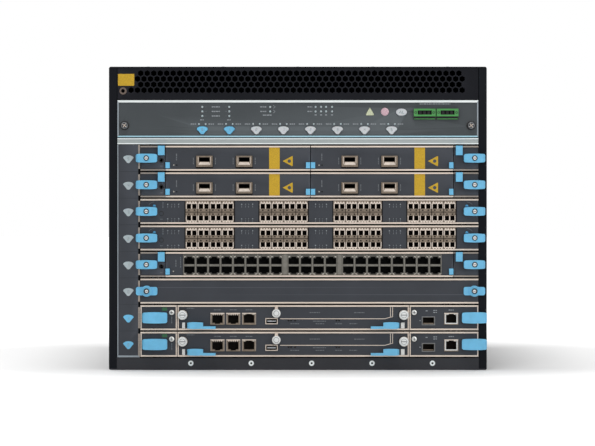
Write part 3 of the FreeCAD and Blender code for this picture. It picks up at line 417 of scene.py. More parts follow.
def rounded(x, z, radius, steps=4):
    """A rectangle of (low, high) pairs with rounded corners."""
    points = []
    for quarter, (across, up) in enumerate(((1, 1), (0, 1), (0, 0), (1, 0))):
        middle_x = x[across] + (-radius if across else radius)
        middle_z = z[up] + (-radius if up else radius)
        for step in range(steps + 1):
            turn = math.pi / 2 * (quarter + step / steps)
            points.append((middle_x + radius * math.cos(turn), middle_z + radius * math.sin(turn)))
    return points


def shrink(outline, margin):
    """An outline drawn in towards its middle by about a margin."""
    middle = Vector((0, 0))
    for corner in outline:
        middle += Vector(corner) / len(outline)
    arms = [Vector(corner) - middle for corner in outline]
    return [tuple(middle + arm * max(0.1, 1 - margin / arm.length)) for arm in arms]


def pick(x, z, width, height, steps=8):
    """A shield: a low arched top over full shoulders, sides drawn in to a round foot."""
    shoulder, foot = z + height * 2 / 3, height * 0.28
    points = []
    for step in range(steps + 1):
        turn = math.pi * step / steps
        points.append((x + width / 2 * math.cos(turn), shoulder + height / 3 * math.sin(turn)))
    for step in range(steps + 1):
        turn = math.radians(205 + 130 * step / steps)
        points.append((x + foot * math.cos(turn), z + foot + foot * math.sin(turn)))
    return points


# ---------------------------------------------------------------- finishes on the CAD nodes

def dress(node, choose, bevel=0.0):
    """Give each face of a CAD node the finish that `choose(centre, normal)` names, and soften its edges."""
    piece = NODES[node]
    mesh = piece.data
    mesh.materials.clear()
    used = []
    for polygon in mesh.polygons:
        finish = choose(polygon.center / MM, polygon.normal)
        if finish not in used:
            used.append(finish)
            mesh.materials.append(FINISHES[finish])
        polygon.material_index = used.index(finish)
    if bevel:
        soft = piece.modifiers.new("soft_edges", "BEVEL")
        soft.width = bevel * MM
        soft.segments = 2
        soft.limit_method = "ANGLE"
        soft.angle_limit = math.radians(40)
        soft.harden_normals = False


def near(value, target, margin=0.06):
    return abs(value - target) < margin


def on_lip(lift):
    """Whether a height above a card's foot falls on one of its two lips."""
    return not RIM_HEIGHT + EDGE <= lift <= CARD_HEIGHT - RIM_HEIGHT - EDGE


def behind_face(centre, lift, card_rear):
    """Finishes of a card behind its face plate."""
    if centre.y > card_rear - 18.5 and lift > 5.5:
        return "dark"
    return "board" if 7.9 < lift < 9.7 and centre.y > FRONT + 25 else "zinc"


def lip_or_face(normal, lift, dim):
    """Finishes of a card's face plate and its two lips: lip tops and undersides take painted shade, and with
    `dim` the lip fronts take the lip metal in painted shade.
    """
    if not on_lip(lift):
        return "zinc" if abs(normal.x) > 0.9 else "card"
    if abs(normal.z) > 0.9:
        return "shade"
    return "lip_in_painted_shade" if dim else "lip"


# The lips of the end blocks can take the lip metal in painted shade.
def dress_card(name, end_left, end_right, sockets="port", lips_in_painted_shade=True, tabs=True):
    """A card: its lips, face, tabs, hinge leaves, sockets, board and tray."""
    box = Box(f"{name}_card")

    def choose(centre, normal):
        lift, reach = centre.z - box.bottom, FRONT - centre.y
        in_bay = end_left < centre.x < end_right
        if reach > RIM_REACH / 2 + 0.01 and not on_lip(lift) and not in_bay:
            tab = end_left - 9 < centre.x < end_right + 10 and lift > CARD_HEIGHT - 12
            return "blue" if tabs and tab else "steel"
        if reach > RIM_REACH + 0.1 and on_lip(lift):
            return "blue"
        if reach > -EDGE or (on_lip(lift) and reach > -FACE_THICK - EDGE):
            if near(reach, SIDE_RIM_REACH):
                return "lip"
            if sockets and not on_lip(lift) and reach > 0.2:
                return sockets
            return lip_or_face(normal, lift, lips_in_painted_shade and not in_bay)
        # Socket pockets take painted shade.
        if sockets and reach > -SOCKET_DEPTH and RIM_HEIGHT < lift < CARD_HEIGHT - RIM_HEIGHT:
            return "brown_painted_shade"
        return behind_face(centre, lift, box.back)

    dress(f"{name}_card", choose, 0.12)


def dress_module(node, tabs=True, metal="port"):
    """A plug-in module: lips, face, blue corner tabs, socket metal and a plated case."""
    box = Box(node)

    def choose(centre, normal):
        lift, reach = centre.z - box.bottom, FRONT - centre.y
        from_side = min(centre.x - box.left, box.right - centre.x)
        if tabs and from_side < 5.1 and lift < 9.9 and reach > 0.1 and lift > RIM_HEIGHT - EDGE:
            return "blue"
        if on_lip(lift) and reach > -FACE_THICK - EDGE or near(reach, SIDE_RIM_REACH):
            return "lip"
        if reach > 0.2:
            return "steel" if reach > 2.25 else metal
        if reach > -EDGE and normal.y < -0.9:
            return "card"
        # Socket interiors take painted shade.
        if reach > -SOCKET_REACH_IN and RIM_HEIGHT < lift < CARD_HEIGHT - 3 and from_side > 4:
            return "brown_painted_shade" if metal == "port" else "black_painted_shade"
        return "zinc"

    dress(node, choose, 0.1)


def dress_lever(node, screw=False):
    """A blue lever, with its steel screw where it has one."""
    screw_back = Box(node).front + SCREW_REACH - EDGE
    dress(node, lambda centre, normal: "steel" if screw and centre.y < screw_back else "blue", 1.2)


def dress_chassis():
    dress("base_pan", sill_finish, 0.15)
    for node in ("left_side_panel", "right_side_panel", "top_cover", "rear_bulkhead"):
        dress(node, lambda centre, normal: "chassis", 0.3)
    dress("power_deck", deck_finish, 0.1)
    dress("midplane", lambda centre, normal: "board" if abs(normal.y) > 0.9 else "dark", 0.1)
    dress("card_guides", lambda centre, normal: "chassis" if centre.y < FRONT + 20 else "zinc")
    dress("intake_grille", grille_finish)
    dress("craft_panel", craft_finish, 0.15)
    dress("slot_label_strip", strip_finish, 0.08)
    dress("alarm_terminals", terminal_finish, 0.2)


def sill_finish(centre, normal):
    """The base: rivets in bright metal with a painted highlight, a grey sill and a dark pan."""
    if centre.y < SILL_FRONT + RIVET_REACH - 0.02 and centre.z > 3:
        return "bright_metal_with_painted_highlight"
    return "sill" if centre.z < 14.3 and centre.y < FRONT + 2 else "chassis"


def deck_finish(centre, normal):
    """The deck between two bright edges of painted highlight, dark behind them and above."""
    bottom, top = STRIP.top + 0.6, CRAFT.bottom - 1.2
    if centre.y > FRONT + 3 or centre.z > top + 1:
        return "chassis"
    at_edge = centre.z > top - 1.4 or centre.z < bottom + 1.4
    return "bright_metal_with_painted_highlight" if centre.y < FRONT - 0.1 and at_edge else "deck"


def grille_finish(centre, normal):
    """The dark honeycomb, and the wrist-strap jack's bare collar."""
    return "brass" if centre.y < GRILLE.front + 1.6 and centre.x < GRILLE.left + 12 else "grille"


def craft_finish(centre, normal):
    """The status panel: a white top edge of painted highlight, pale sides, a light blue foot of painted
    reflection, grey face, board and screws.
    """
    reach = FRONT - centre.y
    if reach < -12:
        return "board"
    if reach <= 0.1:
        return "craft"
    if near(centre.z, CRAFT.bottom + CRAFT_SCREW_HEIGHT, 4.5) and CRAFT.left + 2 < centre.x < CRAFT.right - 2:
        return "steel"
    # The top chamfer takes a painted highlight and the foot a painted blue reflection; the sides stay grey.
    if centre.z > CRAFT.top - CRAFT_TOP_RIM - 0.1:
        return "bright_metal_with_painted_highlight"
    return "painted_blue_reflection" if centre.z < CRAFT.bottom + CRAFT_RIM + 0.1 else "grey_edge"


def strip_finish(centre, normal):
    """The numbered strip: grey, with a bright notched right edge in the lip metal with painted shade."""
    if FRONT - centre.y <= 0.1:
        return "card"
    return "lip_in_painted_shade" if centre.x > STRIP.right - 2.3 else "grey_edge"


def terminal_finish(centre, normal):
    """The green alarm plugs, and the dark sockets they stand in."""
    box = Box("alarm_terminals")
    turned_away = abs(normal.x) < 0.5 and normal.y >= -0.9
    if centre.z < box.top - 9 or centre.y > box.front + 3.4 and turned_away:
        return "dark"
    # The plug cavities take painted shade.
    return "black_painted_shade" if centre.y > box.front + 0.1 and box.top - 7.4 < centre.z < box.top - 1.4 else "green"


def dress_keys():
    for index in range(8):
        dress(f"slot_button_{index + 1}", lambda centre, normal: "blue" if index < 2 else "key", 0.4)
    dress("alarm_cutoff_button", lambda centre, normal: "key", 0.4)


def dress_blank_panel():
    box = Box("slot0_blank_panel")

    def choose(centre, normal):
        lift, reach = centre.z - box.bottom, FRONT - centre.y
        if reach > EDGE and near(lift, CARD_HEIGHT / 2, 7):
            return "dark" if reach > 5.05 else "blue"
        if on_lip(lift):
            return "lip" if reach > -FACE_THICK - EDGE else "zinc"
        return "card" if reach > -EDGE else "zinc"

    dress("slot0_blank_panel", choose)


def dress_rear():
    """Fan tray, air filter and power supplies."""
    tray, media = Box("fan_tray"), Box("air_filter")
    hub_reach = tray.right - tray.x - 8

    def tray_finish(centre, normal):
        if centre.y > tray.back - PULL_REACH - 1.2:
            return "craft" if centre.y < tray.back - PULL_REACH - 0.1 else "dark"
        inner = tray.left + 3.9 < centre.x < tray.right - 3.9
        turned = abs(normal.x) > 0.9
        return "dark" if inner and (turned or near(centre.x, tray.x, hub_reach)) else "zinc"

    def filter_finish(centre, normal):
        if centre.y > media.back - PULL_REACH - 1.2:
            return "craft" if centre.y < media.back - PULL_REACH - 0.1 else "dark"
        return "filter" if near(centre.x, media.x, 3.2) else "chassis"

    dress("fan_tray", tray_finish)
    dress("air_filter", filter_finish)
    for index in range(4):
        dress_supply(f"power_supply_{index}")


def dress_supply(node):
    """A plated case with dark connectors, a grey rear panel and a steel handle."""
    case = Box(node)
    rear = case.back - PULL_REACH

    def choose(centre, normal):
        if centre.y > rear - 0.1:
            return "steel" if centre.y > rear + 3.1 else "dark" if centre.y > rear + 0.1 else "craft"
        if centre.y < case.front + 4:
            return "dark"
        in_case = case.left + 3 < centre.x < case.right - 3 and case.bottom + 5 < centre.z < case.bottom + 32
        # Faces inside the rear opening take painted shade.
        return "black_painted_shade" if centre.y > rear - 18.5 and in_case else "zinc"

    dress(node, choose, 0.2)


# ---------------------------------------------------------------- small shapes

PROUD = 0.12
DIGITS = ("abcdef", "bc", "abged", "abgcd", "fgbc", "afgcd", "afgcde", "abc")
SEGMENTS = {
    "a": ((0, 1), (1, 1)), "b": ((1, 1), (1, 0.5)), "c": ((1, 0.5), (1, 0)), "d": ((0, 0), (1, 0)),
    "e": ((0, 0), (0, 0.5)), "f": ((0, 0.5), (0, 1)), "g": ((0, 0.5), (1, 0.5)),
}
DASHES = (2.3, 1.4, 3.1, 1.8)
DASH_GAP = 0.55


def slot_bottom(slot):
    return STRIP.bottom + 0.8 + slot * SLOT_PITCH


def mark(trim, x, z, width, height, finish="ink"):
    """A printed mark about a point."""
    trim.bar(about(x, width / 2), about(z, height / 2), PROUD, finish, -PROUD)


def legend(trim, x, z, length, height=1.3, upright=False, finish="ink"):
    """A line of print: short dashes of uneven length about a point."""
    at, step = -length / 2, 0
    while at < length / 2 - 0.5:
        dash = min(DASHES[step % 4], length / 2 - at)
        middle = at + dash / 2
        if upright:
            mark(trim, x, z + middle, height, dash, finish)
        else:
            mark(trim, x + middle, z, dash, height, finish)
        at += dash + DASH_GAP
        step += 1


def faint(trim, *rows):
    """Upright lines of faint print, each (x, z, length, height)."""
    for row in rows:
        legend(trim, *row, upright=True, finish="faint_ink")


def digit(trim, number, x, z, height, proud):
    """A plain numeral from straight strokes."""
    for name in DIGITS[number]:
        path = [(x + (across - 0.5) * height * 0.5, z + (up - 0.5) * height) for across, up in SEGMENTS[name]]
        trim.stroke(path, height * 0.15, proud, "badge_digit", proud - 0.2)


def lamp(trim, x, z, radius=1.3, finish="badge"):
    trim.turned(x, z, [(0.3 * radius, 0.7), (0.8 * radius, 0.45), (radius, -0.1)], finish, 12)


def frame_lines(trim, x, z, width, proud, finish):
    """Four thin bars along the edges of a rectangle."""
    for low in (z[0], z[1] - width):
        trim.bar(x, (low, low + width), proud, finish)
    for low in (x[0], x[1] - width):
        trim.bar((low, low + width), (z[0] + width, z[1] - width), proud, finish)


# ---------------------------------------------------------------- top of the front

def grille_trim():
    """The plain yellow film beside the wrist-strap jack."""
    trim = Trim(GRILLE.left, GRILLE.bottom, FRONT + 0.5)
    trim.prism(rounded((0.6, 19.6), (16.4, 30.2), 0.8), PROUD, "yellow", -0.1)
    trim.place("grille_film", "chassis", "panel_grey")


def craft_trim():
    """Lamps, print and captive screws of the status panel."""
    lamps, print_, metal = (Trim(0, CRAFT.bottom) for _ in range(3))
    high, middle, low = rows = (35.3, 30, 24.7)
    master, backup, fans = -111.5, -80.1, (20.7, 27.1, 32.9, 39.9)
    for z in rows:
        legend(print_, (master + backup) / 2, z, 9.5)
        for x, side in ((master, 1), (backup, -1)):
            lamp(lamps, x, z)
            mark(print_, x + side * 3.6, z, 2.6, 0.35, "faint_ink")
    for x in (master, backup):
        legend(print_, x, low - 4.6, 5, 1.1)
    for z in (high, middle):
        lamp(lamps, -32.3, z)
        legend(print_, -40.4, z, 7)
        print_.stroke([(-28.6, z - 1.6), (-26.4, z), (-28.6, z + 1.6)], 0.6, PROUD, "ink", -0.1)
    legend(print_, -35.4, low + 1, 11)
    for x in fans:
        for z in (high, middle):
            lamp(lamps, x, z)
        mark(print_, x, low + 1.2, 2.4, 1.2)
    for z in (high, middle):
        legend(print_, 14, z, 5.5)
    for index in range(8):
        key = Box(f"slot_button_{index + 1}")
        over = key.top + 2.8 - CRAFT.bottom
        for side in (-1, 1):
            lamp(lamps, key.x + side * 3.85, over, 1.2)
            legend(print_, key.x + side * 10.4, over, 6.4, 1.2)
        legend(print_, key.x, CRAFT_RIM + 0.8, 5, 0.7, finish="faint_ink")
    triangle = [(84.1, high - 0.5), (79.3, low + 1.8), (80.2, low + 0.6), (88, low + 0.6), (88.9, low + 1.8)]
    lamps.prism(triangle, 0.8, "amber_lens", 0, 0.5)
    lamps.turned(101.6, middle - 0.4, [(3.2, 1), (4.3, 0.7), (4.7, 0)], "pink_lens", 32)
    legend(print_, 160, CRAFT.top - CRAFT.bottom - 4.2, 36, 1.3)
    z = CRAFT_SCREW_HEIGHT
    for side, x in ((-1, CRAFT.left + 8.4), (1, CRAFT.right - 8.4)):
        metal.ring(x, z, 5.4, 4.1, 0.8, "dark")
        metal.turned(x, z, [(2.9, 5.1), (3.6, 5), (4.05, 4.4), (4.05, 3)], "dim_steel")
        metal.disc(x, z, 2.7, 5.16, "well", 5)
        for turn in (0.6, 2.2):
            across, up = 2.6 * math.cos(turn), 2.6 * side * math.sin(turn)
            metal.stroke([(x - across, z - up), (x + across, z + up)], 0.7, 5.25, "lip", 5)
    lamps.place("craft_lamps", "chassis", "white_plastic")
    print_.place("craft_print", "chassis", "panel_grey")
    metal.place("craft_screws", "chassis", "bare_steel")


def key_trim():
    """Numerals on the keys, and the mark on the oval button."""
    for index in range(8):
        key = Box(f"slot_button_{index + 1}")
        trim = Trim(key.x, key.z, key.front)
        digit(trim, index if index < 2 else index - 2, 0, 0.8, 2.8, 0.1)
        trim.place(f"key_numeral_{index + 1}", f"slot_button_{index + 1}", "white_plastic")
    oval = Box("alarm_cutoff_button")
    trim = Trim(oval.x, oval.z, oval.front)
    for path in (((-2.6, -1.4), (-1.3, 1.6), (0, -1.4)), ((1.1, 1.5), (1.1, -1.4), (2.8, -1.4))):
        trim.stroke(path, 0.7, 0.1, "grey_edge", -0.2)
    trim.place("oval_mark", "alarm_cutoff_button", "white_plastic")


def terminal_trim():
    """Wire mouths and screws of the two alarm plugs."""
    block = Box("alarm_terminals")
    trim = Trim(0, block.top, block.front)
    z = -4.5
    for outer in (block.right, block.right - 26.6):
        middle = outer - 12.7
        for step in (-5, 0, 5):
            trim.bar(about(middle + step, 1.7), about(z, 2), -2.6, "dark", -3.4)
        for side in (-1, 1):
            trim.disc(middle + side * 10.4, z, 1.5, 0.1, "dark", -0.2)
            trim.disc(middle + side * 10.4, z, 0.8, 0.2, "green", -0.1)
        low = block.bottom - block.top
        trim.bar((outer - 25, outer - 0.4), (low + 0.2, low + 1), -1.2, "green", block.front - FRONT)
    trim.place("alarm_contacts", "chassis", "bare_steel")


def strip_trim():
    """Numbered shields of the slots, with faint lines between them."""
    trim = Trim(STRIP.left)
    for slot in range(8):
        base = slot_bottom(slot)
        z = base + 13.4
        trim.prism(pick(12.8, z - 4.6, 12.2, 9.2), 0.3, "blue" if slot < 2 else "badge")
        digit(trim, slot if slot < 2 else slot - 2, 12.8, z + 0.3, 3, 0.4)
        if slot:
            trim.bar((2, STRIP.right - STRIP.left - 3), (base - 1.3, base - 0.8), PROUD, "well")
    trim.place("slot_badges", "chassis", "panel_grey")


def notch_trim():
    """Painted shade: dark bars behind the notches of the numbered strip's edge, where the gaps show through.
    """
    trim = Trim(STRIP.right)
    for slot in range(1, 8):
        trim.bar((-2.2, 1.1), about(slot_bottom(slot) - 1, 3), -1.6, "black_painted_shade", -1.9)
    trim.place("notch_gaps", "chassis", "chassis_sheet")


# ---------------------------------------------------------------- cards and modules

def lever_trim(node, screw=True):
    """The captive screw's dark ring of painted shade and its centre, whose slot is a dimmer bar of painted
    shade, and the lever's steel pin ends.
    """
    box = Box(node)
    trim = Trim(0, 0, box.front)
    if screw:
        trim.ring(box.x, box.z, 3.2, 2.1, 0.3, "black_painted_shade", -SCREW_REACH)
        trim.disc(box.x, box.z, 2.15, 0.12, "knob_face", -0.2, 0.05)
        trim.bar(about(box.x, 1.7), about(box.z, 0.45), 0.16, "dim_steel")
    pin_x = box.right - 4.5 if box.x > 0 else box.left + 4.5
    pin_y = -4.5 - (SCREW_REACH if screw else 0)
    for z in (box.bottom + 0.62, box.top - 0.62):
        trim.loft([[(pin_x + across, pin_y - back, z + lift) for across, back in circle(0, 0, 1.25, 12)]
                   for lift in (-0.2, 0.2)], "steel")
    trim.place(f"{node}_trim", node, "blue_plastic")


def card_ends(name, fixed):
    """Outlined end blocks of a line card, its peephole and its legends."""
    trim = Trim(0, Box(f"{name}_card").bottom)
    for left, right in ((CARD_LEFT + 1.4, END_LEFT - 0.9), (END_RIGHT + 1.4, CARD_RIGHT - 1.2)):
        if not fixed:
            for x in (left, right):
                trim.bar(about(x, 0.22), (RIM_HEIGHT, CARD_HEIGHT - RIM_HEIGHT), PROUD, "well")
            trim.bar((left, right), (RIM_HEIGHT, RIM_HEIGHT + 0.5), PROUD, "well")
    hole = END_LEFT - 4.05
    trim.ring(hole, 12, 2.9, 2.05, 0.2, "dark")
    mark(trim, hole, 5.4, 3, 0.7, "faint_ink")
    faint(trim, (END_LEFT - 2.2, 22, 7, 1))
    if fixed:
        for x, side in ((-167.5, -1), (197.2, 1)):
            # Small blue tabs in the blue plastic with painted shade.
            trim.prism([(x - 2, 20), (x + 2, 20), (x + 1.2, 22.4), (x - 1.2, 22.4)], 1.4, "blue_painted_shade", 0, 0.5)
            arc = [(x + side * 7 * math.cos(turn), 20 + 5.5 * math.sin(turn))
                   for turn in [math.pi * step / 8 for step in range(1, 5)]]
            trim.stroke(arc, 0.5, PROUD, "faint_ink")
    trim.place(f"{name}_end_print", f"{name}_card", "card_face")


def optical_trim(node):
    """Film, lamps and cage metal of a half-width optical module."""
    box = Box(node)
    trim = Trim(box.left, box.bottom)
    cage, pitch, film, face = 45.3, 46.4, 120.8, CAGE_FACE
    for x in (cage, cage + pitch):
        # Dark bars round the cage's sides and under it: painted shade in the gap round the cage and a painted
        # shadow under it.
        trim.bar(about(x, 9.6), (2.6, 4.5), 0.3, "black_painted_shade")
        for side in (-1, 1):
            for inner, outer, z, proud, back, finish in (
                    (9.5, 10.3, (3.4, 17), 0.3, 0, "black_painted_shade"), (8.7, 9.5, (4.6, 17.3), face + 0.25, 0, "port"),
                    (7, 7.5, (8, 16.2), face + 0.2, face, "port_light")):
                trim.bar(sorted((x + side * inner, x + side * outer)), z, proud, finish, back)
            legend(trim, x + side * 12.9, 11.4, 8, 0.9, upright=True, finish="faint_ink")
        trim.bar(about(x, 9.5), (16.5, 17.4), face + 0.3, "port", 0, 0.2)
        trim.bar(about(x, 9.3), (4.6, 6.6), face + 0.4, "port", face, 0.2)
        lip = [(x - 7.2, 6.7), (x + 7.2, 6.7), (x + 5.4, 10), (x - 5.4, 10)]
        trim.prism(lip, face + 0.9, "port_light", face, 0.4)
        # A thin line of painted shade under the cage's top edge.
        trim.bar(about(x, 6.3), (15.2, 15.7), face + 0.15, "brown_painted_shade", face)
    lamp(trim, 9.5, 6.5, 0.9, "jack_lamp")
    # A small hole drawn as a disc of painted shade.
    trim.disc(13, 6.5, 0.9, 0.1, "black_painted_shade")
    faint(trim, (12.7, 16, 8, 1.2))
    trim.bar((film, film + 12.4), (RIM_HEIGHT, CARD_HEIGHT - RIM_HEIGHT), PROUD, "yellow")
    apex, middle = film + 15.8, 11.2
    triangle = ((0, 0), (11.2, -6), (11.8, -5.4), (11.8, 5.4), (11.2, 6))
    trim.prism([(apex + x, middle + z) for x, z in triangle], PROUD, "yellow")
    trim.disc(apex + 7.8, middle, 2, 2 * PROUD, "card")
    trim.place(f"{node}_fittings", node, "card_face")


def port_row(trim, x, upper):
    """One duplex port face: a scalloped flange outside, dividers, and a plain bar inside."""
    face = PORT_FACE
    edge, tip = (23.3, 25.9) if upper else (3.9, 1.6)
    inner = (14.4, 17.5) if upper else (9.7, 12.9)
    trim.bar(about(x, 6.7), inner, face + 0.5, "port", face, 0.3)
    trim.bar(about(x, 6.6), sorted((edge, (edge + tip) / 2)), face + 0.7, "port_light", face, 0.3)
    for tooth in range(4):
        at = x - 4.8 + tooth * 3.2
        trim.prism([(at - 1.35, edge), (at + 1.35, edge), (at + 0.8, tip), (at - 0.8, tip)], face + 0.9,
                   "port_light", face, 0.3)
    # The two bores are bars of painted shade.
    for at in (x - 3.3, x + 3.3):
        trim.bar(about(at, 1), (inner[0] + 0.8, inner[1] - 0.8), face + 0.55, "brown_painted_shade", face)
    span = (inner[1], edge) if upper else (edge, inner[0])
    for at, half in ((x - 6.2, 0.45), (x, 0.6), (x + 6.2, 0.45)):
        trim.bar(about(at, half), span, face + 0.5, "port_light", face, 0.15)


def duplex_trim(name):
    """Port faces of a fixed card with their dark seams of painted shade, and the lamps between the groups."""
    base = Box(f"{name}_card").bottom
    shells, lamps = Trim(0, base), Trim(0, base)
    face = PORT_FACE
    for left in PORT_GROUPS:
        # Dark gaps at both ends of a port group: painted shade.
        for low in (left - 1.3, left + PORT_GROUP):
            shells.bar((low, low + 1.3), (2, 27), 0.4, "black_painted_shade")
        for column in range(4):
            x = left + PORT_PITCH * (column + 0.5)
            port_row(shells, x, True)
            port_row(shells, x, False)
            # Seams between ports and between the two rows: painted shade.
            shells.bar((x + 6.75, x + 7.35), (2.6, 26.4), face + 0.1, "brown_painted_shade", face)
        shells.bar((left, left + PORT_GROUP), (13.3, 14), face + 0.1, "brown_painted_shade", face)
        for at, finish in ((20.9, "ink"), (16.3, "faint_ink"), (12.8, "faint_ink"), (8.1, "ink")):
            for z in (22.8, 5.8):
                lamp(lamps, left - at, z, 0.8, finish)
                faint(lamps, (left - at, z - 2.6, 2.6, 0.7))
    shells.place(f"{name}_port_shells", f"{name}_card", "bare_steel")
    lamps.place(f"{name}_port_lamps", f"{name}_card", "white_plastic")


def copper_trim():
    """Jack lamps, dividers and shield edges of the copper module."""
    box = Box("slot1_copper_module")
    trim = Trim(box.left, box.bottom)
    face, divider, columns = PORT_FACE, 5.6, 20
    first, last = 20.5, box.right - box.left - 13.6
    pitch = (last - first - 2 * divider) / columns
    trim.bar((first, last), (1.9, 2.7), face + 0.3, "brass", 0, 0.1)
    for column in range(columns):
        x = first + pitch * (column + 0.5) + divider * ((column >= 8) + (column >= 12))
        for side in (-1, 1):
            trim.bar(about(x + side * (pitch / 2 - 0.4), 0.4), (3, 26), face + 0.35, "jack_edge", face, 0.1)
            outer, inner = x + side * 6, x + side * 3.4
            for wide, narrow in ((24.4, 22.4), (2.8, 4.8)):
                trim.prism([(outer, wide), (inner, wide), (outer, narrow)], face + 0.15, "jack_lamp", face)
        trim.bar(about(x, 5.9), (12.6, 14.8), face + 0.3, "jack_edge", face, 0.1)
    for column, before in ((8, 0.5), (12, 1.5)):
        x = first + pitch * column + divider * before
        trim.bar(about(x, 2.3), (2.6, 26.2), face + 0.25, "jack_edge", face, 0.2)
    lamp(trim, 9, 6.5, 0.9, "jack_lamp")
    faint(trim, (12, 16, 8, 1.1), (17.5, 17, 12, 0.9))
    trim.place("copper_fittings", "slot1_copper_module", "bare_steel")


def blank_trim():
    """The bright centres of the filler panel's screws."""
    box = Box("slot0_blank_panel")
    trim = Trim(0, box.bottom + CARD_HEIGHT / 2)
    for x in (box.left + 12.8, box.right - 12.8):
        trim.disc(x, 0, 1.9, BLANK_SCREW_FACE + 0.22, "knob_face", BLANK_SCREW_FACE)
        # The slot is a dark bar of painted shade.
        trim.bar(about(x, 1.3), about(0, 0.35), BLANK_SCREW_FACE + 0.26, "dark", BLANK_SCREW_FACE)
    trim.place("blank_screw_rings", "slot0_blank_panel", "bare_steel")


def socket_trim(trim, x, teeth):
    """A metal jack collar: bright edges, with sprung teeth or two corner lamps."""
    face, low, high, half = SOCKET_FACE, 6.3, 20.1, 8.2
    trim.bar(about(x, half), (high - 1.1, high), face + 0.4, "port_light", face, 0.2)
    trim.bar(about(x, half), (low, low + 0.9), face + 0.4, "port", face, 0.2)
    # The sides take the lip metal in painted shade.
    for side in (-1, 1):
        edge = sorted((x + side * (half - 0.9), x + side * half))
        trim.bar(edge, (low, high), face + 0.3, "lip_in_painted_shade", face, 0.2)
    if teeth:
        for step in range(5):
            at = x - 5 + step * 2.5
            tooth = [(at - 0.9, high - 1.2), (at + 0.9, high - 1.2), (at, high - 3.1)]
            trim.prism(tooth, face + 0.2, "port_light", face - 0.6)
    else:
        for at in about(x, 5.4):
            trim.bar(about(at, 1.1), (high - 2.4, high - 1.3), face + 0.1, "jack_lamp", face - 0.4)


def thumbscrew(trim, x, z):
    """A knurled thumbscrew with a slotted face."""
    turns = [(5.5 + 0.3 * (at % 2), math.pi * at / 28) for at in range(56)]
    ridges = [(x + radius * math.cos(turn), z + radius * math.sin(turn)) for radius, turn in turns]
    trim.prism(ridges, 6.8, "port_light", 1.5, 0.4)
    trim.turned(x, z, [(2, 7.6), (4.4, 7.5), (5, 7)], "knob_face", 28)
    # The slot is a dimmer bar of painted shade.
    trim.bar(about(x, 3.6), about(z, 0.45), 7.7, "dim_steel", 7.4)
    trim.ring(x, z, 3.4, 3, 7.62, "dim_steel", 7.4)
    trim.ring(x, z, 6.6, 5.6, 0.5, "dark")


def management_trim(name):
    """Sockets, knobs, cover line and lamps of the management module."""
    node = f"{name}_management_module"
    box = Box(node)
    width = box.right - box.left
    metal, marks = Trim(box.left, box.bottom), Trim(box.left, box.bottom)
    sockets, usb, knob = (46.5, 64.9, 83.3), 109.6, 115.2
    for index, x in enumerate(sockets):
        socket_trim(metal, x, index < 2)
    frame_lines(metal, about(usb, 7.1), (6.9, 13.9), 0.8, 1.4, "port_light")
    metal.bar(about(usb, 5), (9.6, 11), -1.5, "key", -10)
    for x in (5.8, width - 5.8):
        thumbscrew(metal, x, 17.7)
    for x in ((5.2, 8.8), (width - 9.4, width - 4.9)):
        metal.bar(x, (1.9, 9), 2, "steel", 0, 0.3)
    metal.turned(knob, 19.6, [(2.4, 5.8), (4.3, 5.5), (5, 4.6)], "knob_face", 28)
    metal.ring(knob, 19.6, 3.3, 2.8, 5.9, "dim_steel", 5.6)
    metal.prism([(knob - 2.4, 22), (knob + 2.4, 22), (knob + 1.5, 28), (knob - 1.5, 28)], 3.6, "lip", 0, 0.4)
    metal.stroke([(119.6, 13.2), (width - 27.9, 13.2), (width - 19.7, 15.5)], 0.8, 0.5, "lip")
    for x in (width - 21.4, width - 18.9):
        metal.bar(about(x, 0.35), (15, CARD_HEIGHT - RIM_HEIGHT), 0.5, "lip")
    metal.place(f"{name}_metal", node, "bare_steel")
    # Small holes drawn as discs of painted shade.
    for x in (129.5, 132.4, 137.1, 185.4, 188.4):
        marks.disc(x, 11.2, 1.1, 0.5, "black_painted_shade", 0, 0.2)
    for x, z, length in tuple((x, 23.6, 8) for x in sockets) + (
            (15, 25.4, 9), (137, 7.4, 11), (160, 20.5, 12), (166, 10.4, 16), (166, 7.4, 10), (188, 7.4, 8),
            (205, 7.4, 9), (212, 20.4, 12)):
        legend(marks, x, z, length, 1, finish="faint_ink")
    marks.place(f"{name}_marks", node, "white_plastic")


def fabric_trim(name):
    """The fabric carrier's own screws, port frame, console jack and legends."""
    node = f"{name}_card"
    base = Box(node).bottom
    metal, marks = Trim(0, base), Trim(0, base)
    for x in (CARD_LEFT + 36.4, CARD_RIGHT - 74.8):
        metal.ring(x, 20.6, 3.9, 3.05, 0.3, "dark")
        metal.turned(x, 20.6, [(1.595, 2.4), (2.61, 2.1), (2.9, 1.2)], "steel")
        # The cross slot is drawn as dark bars of painted shade.
        for across, up in ((1.74, 0.3), (0.3, 1.74)):
            metal.bar(about(x, across), about(20.6, up), 2.43, "dark", 2.3)
    socket_trim(metal, CARD_RIGHT - 31.6, False)
    port = CARD_RIGHT - 58.2
    frame_lines(metal, about(port, 7.8), (5.6, 16), 0.7, 0.9, "dim_steel")
    metal.bar(about(port, 6), (7.4, 8.3), 0.4, "port", -3)
    metal.place(f"{name}_card_metal", node, "bare_steel")
    marks.bar((CARD_LEFT + 25, CARD_LEFT + 31), (22.6, 26.4), 0.3, "board")
    faint(marks, (CARD_LEFT + 36.4, 12, 8, 1))
    for x, z, length in ((60, 22.4, 3), (50, 23, 5), (50, 20.6, 5), (31.6, 23.4, 6)):
        legend(marks, CARD_RIGHT - x, z, length, 1)
    lamp(marks, CARD_RIGHT - 68, 11, 0.8, "ink")
    marks.place(f"{name}_card_marks", node, "card_face")


# ---------------------------------------------------------------- rear, sides and top

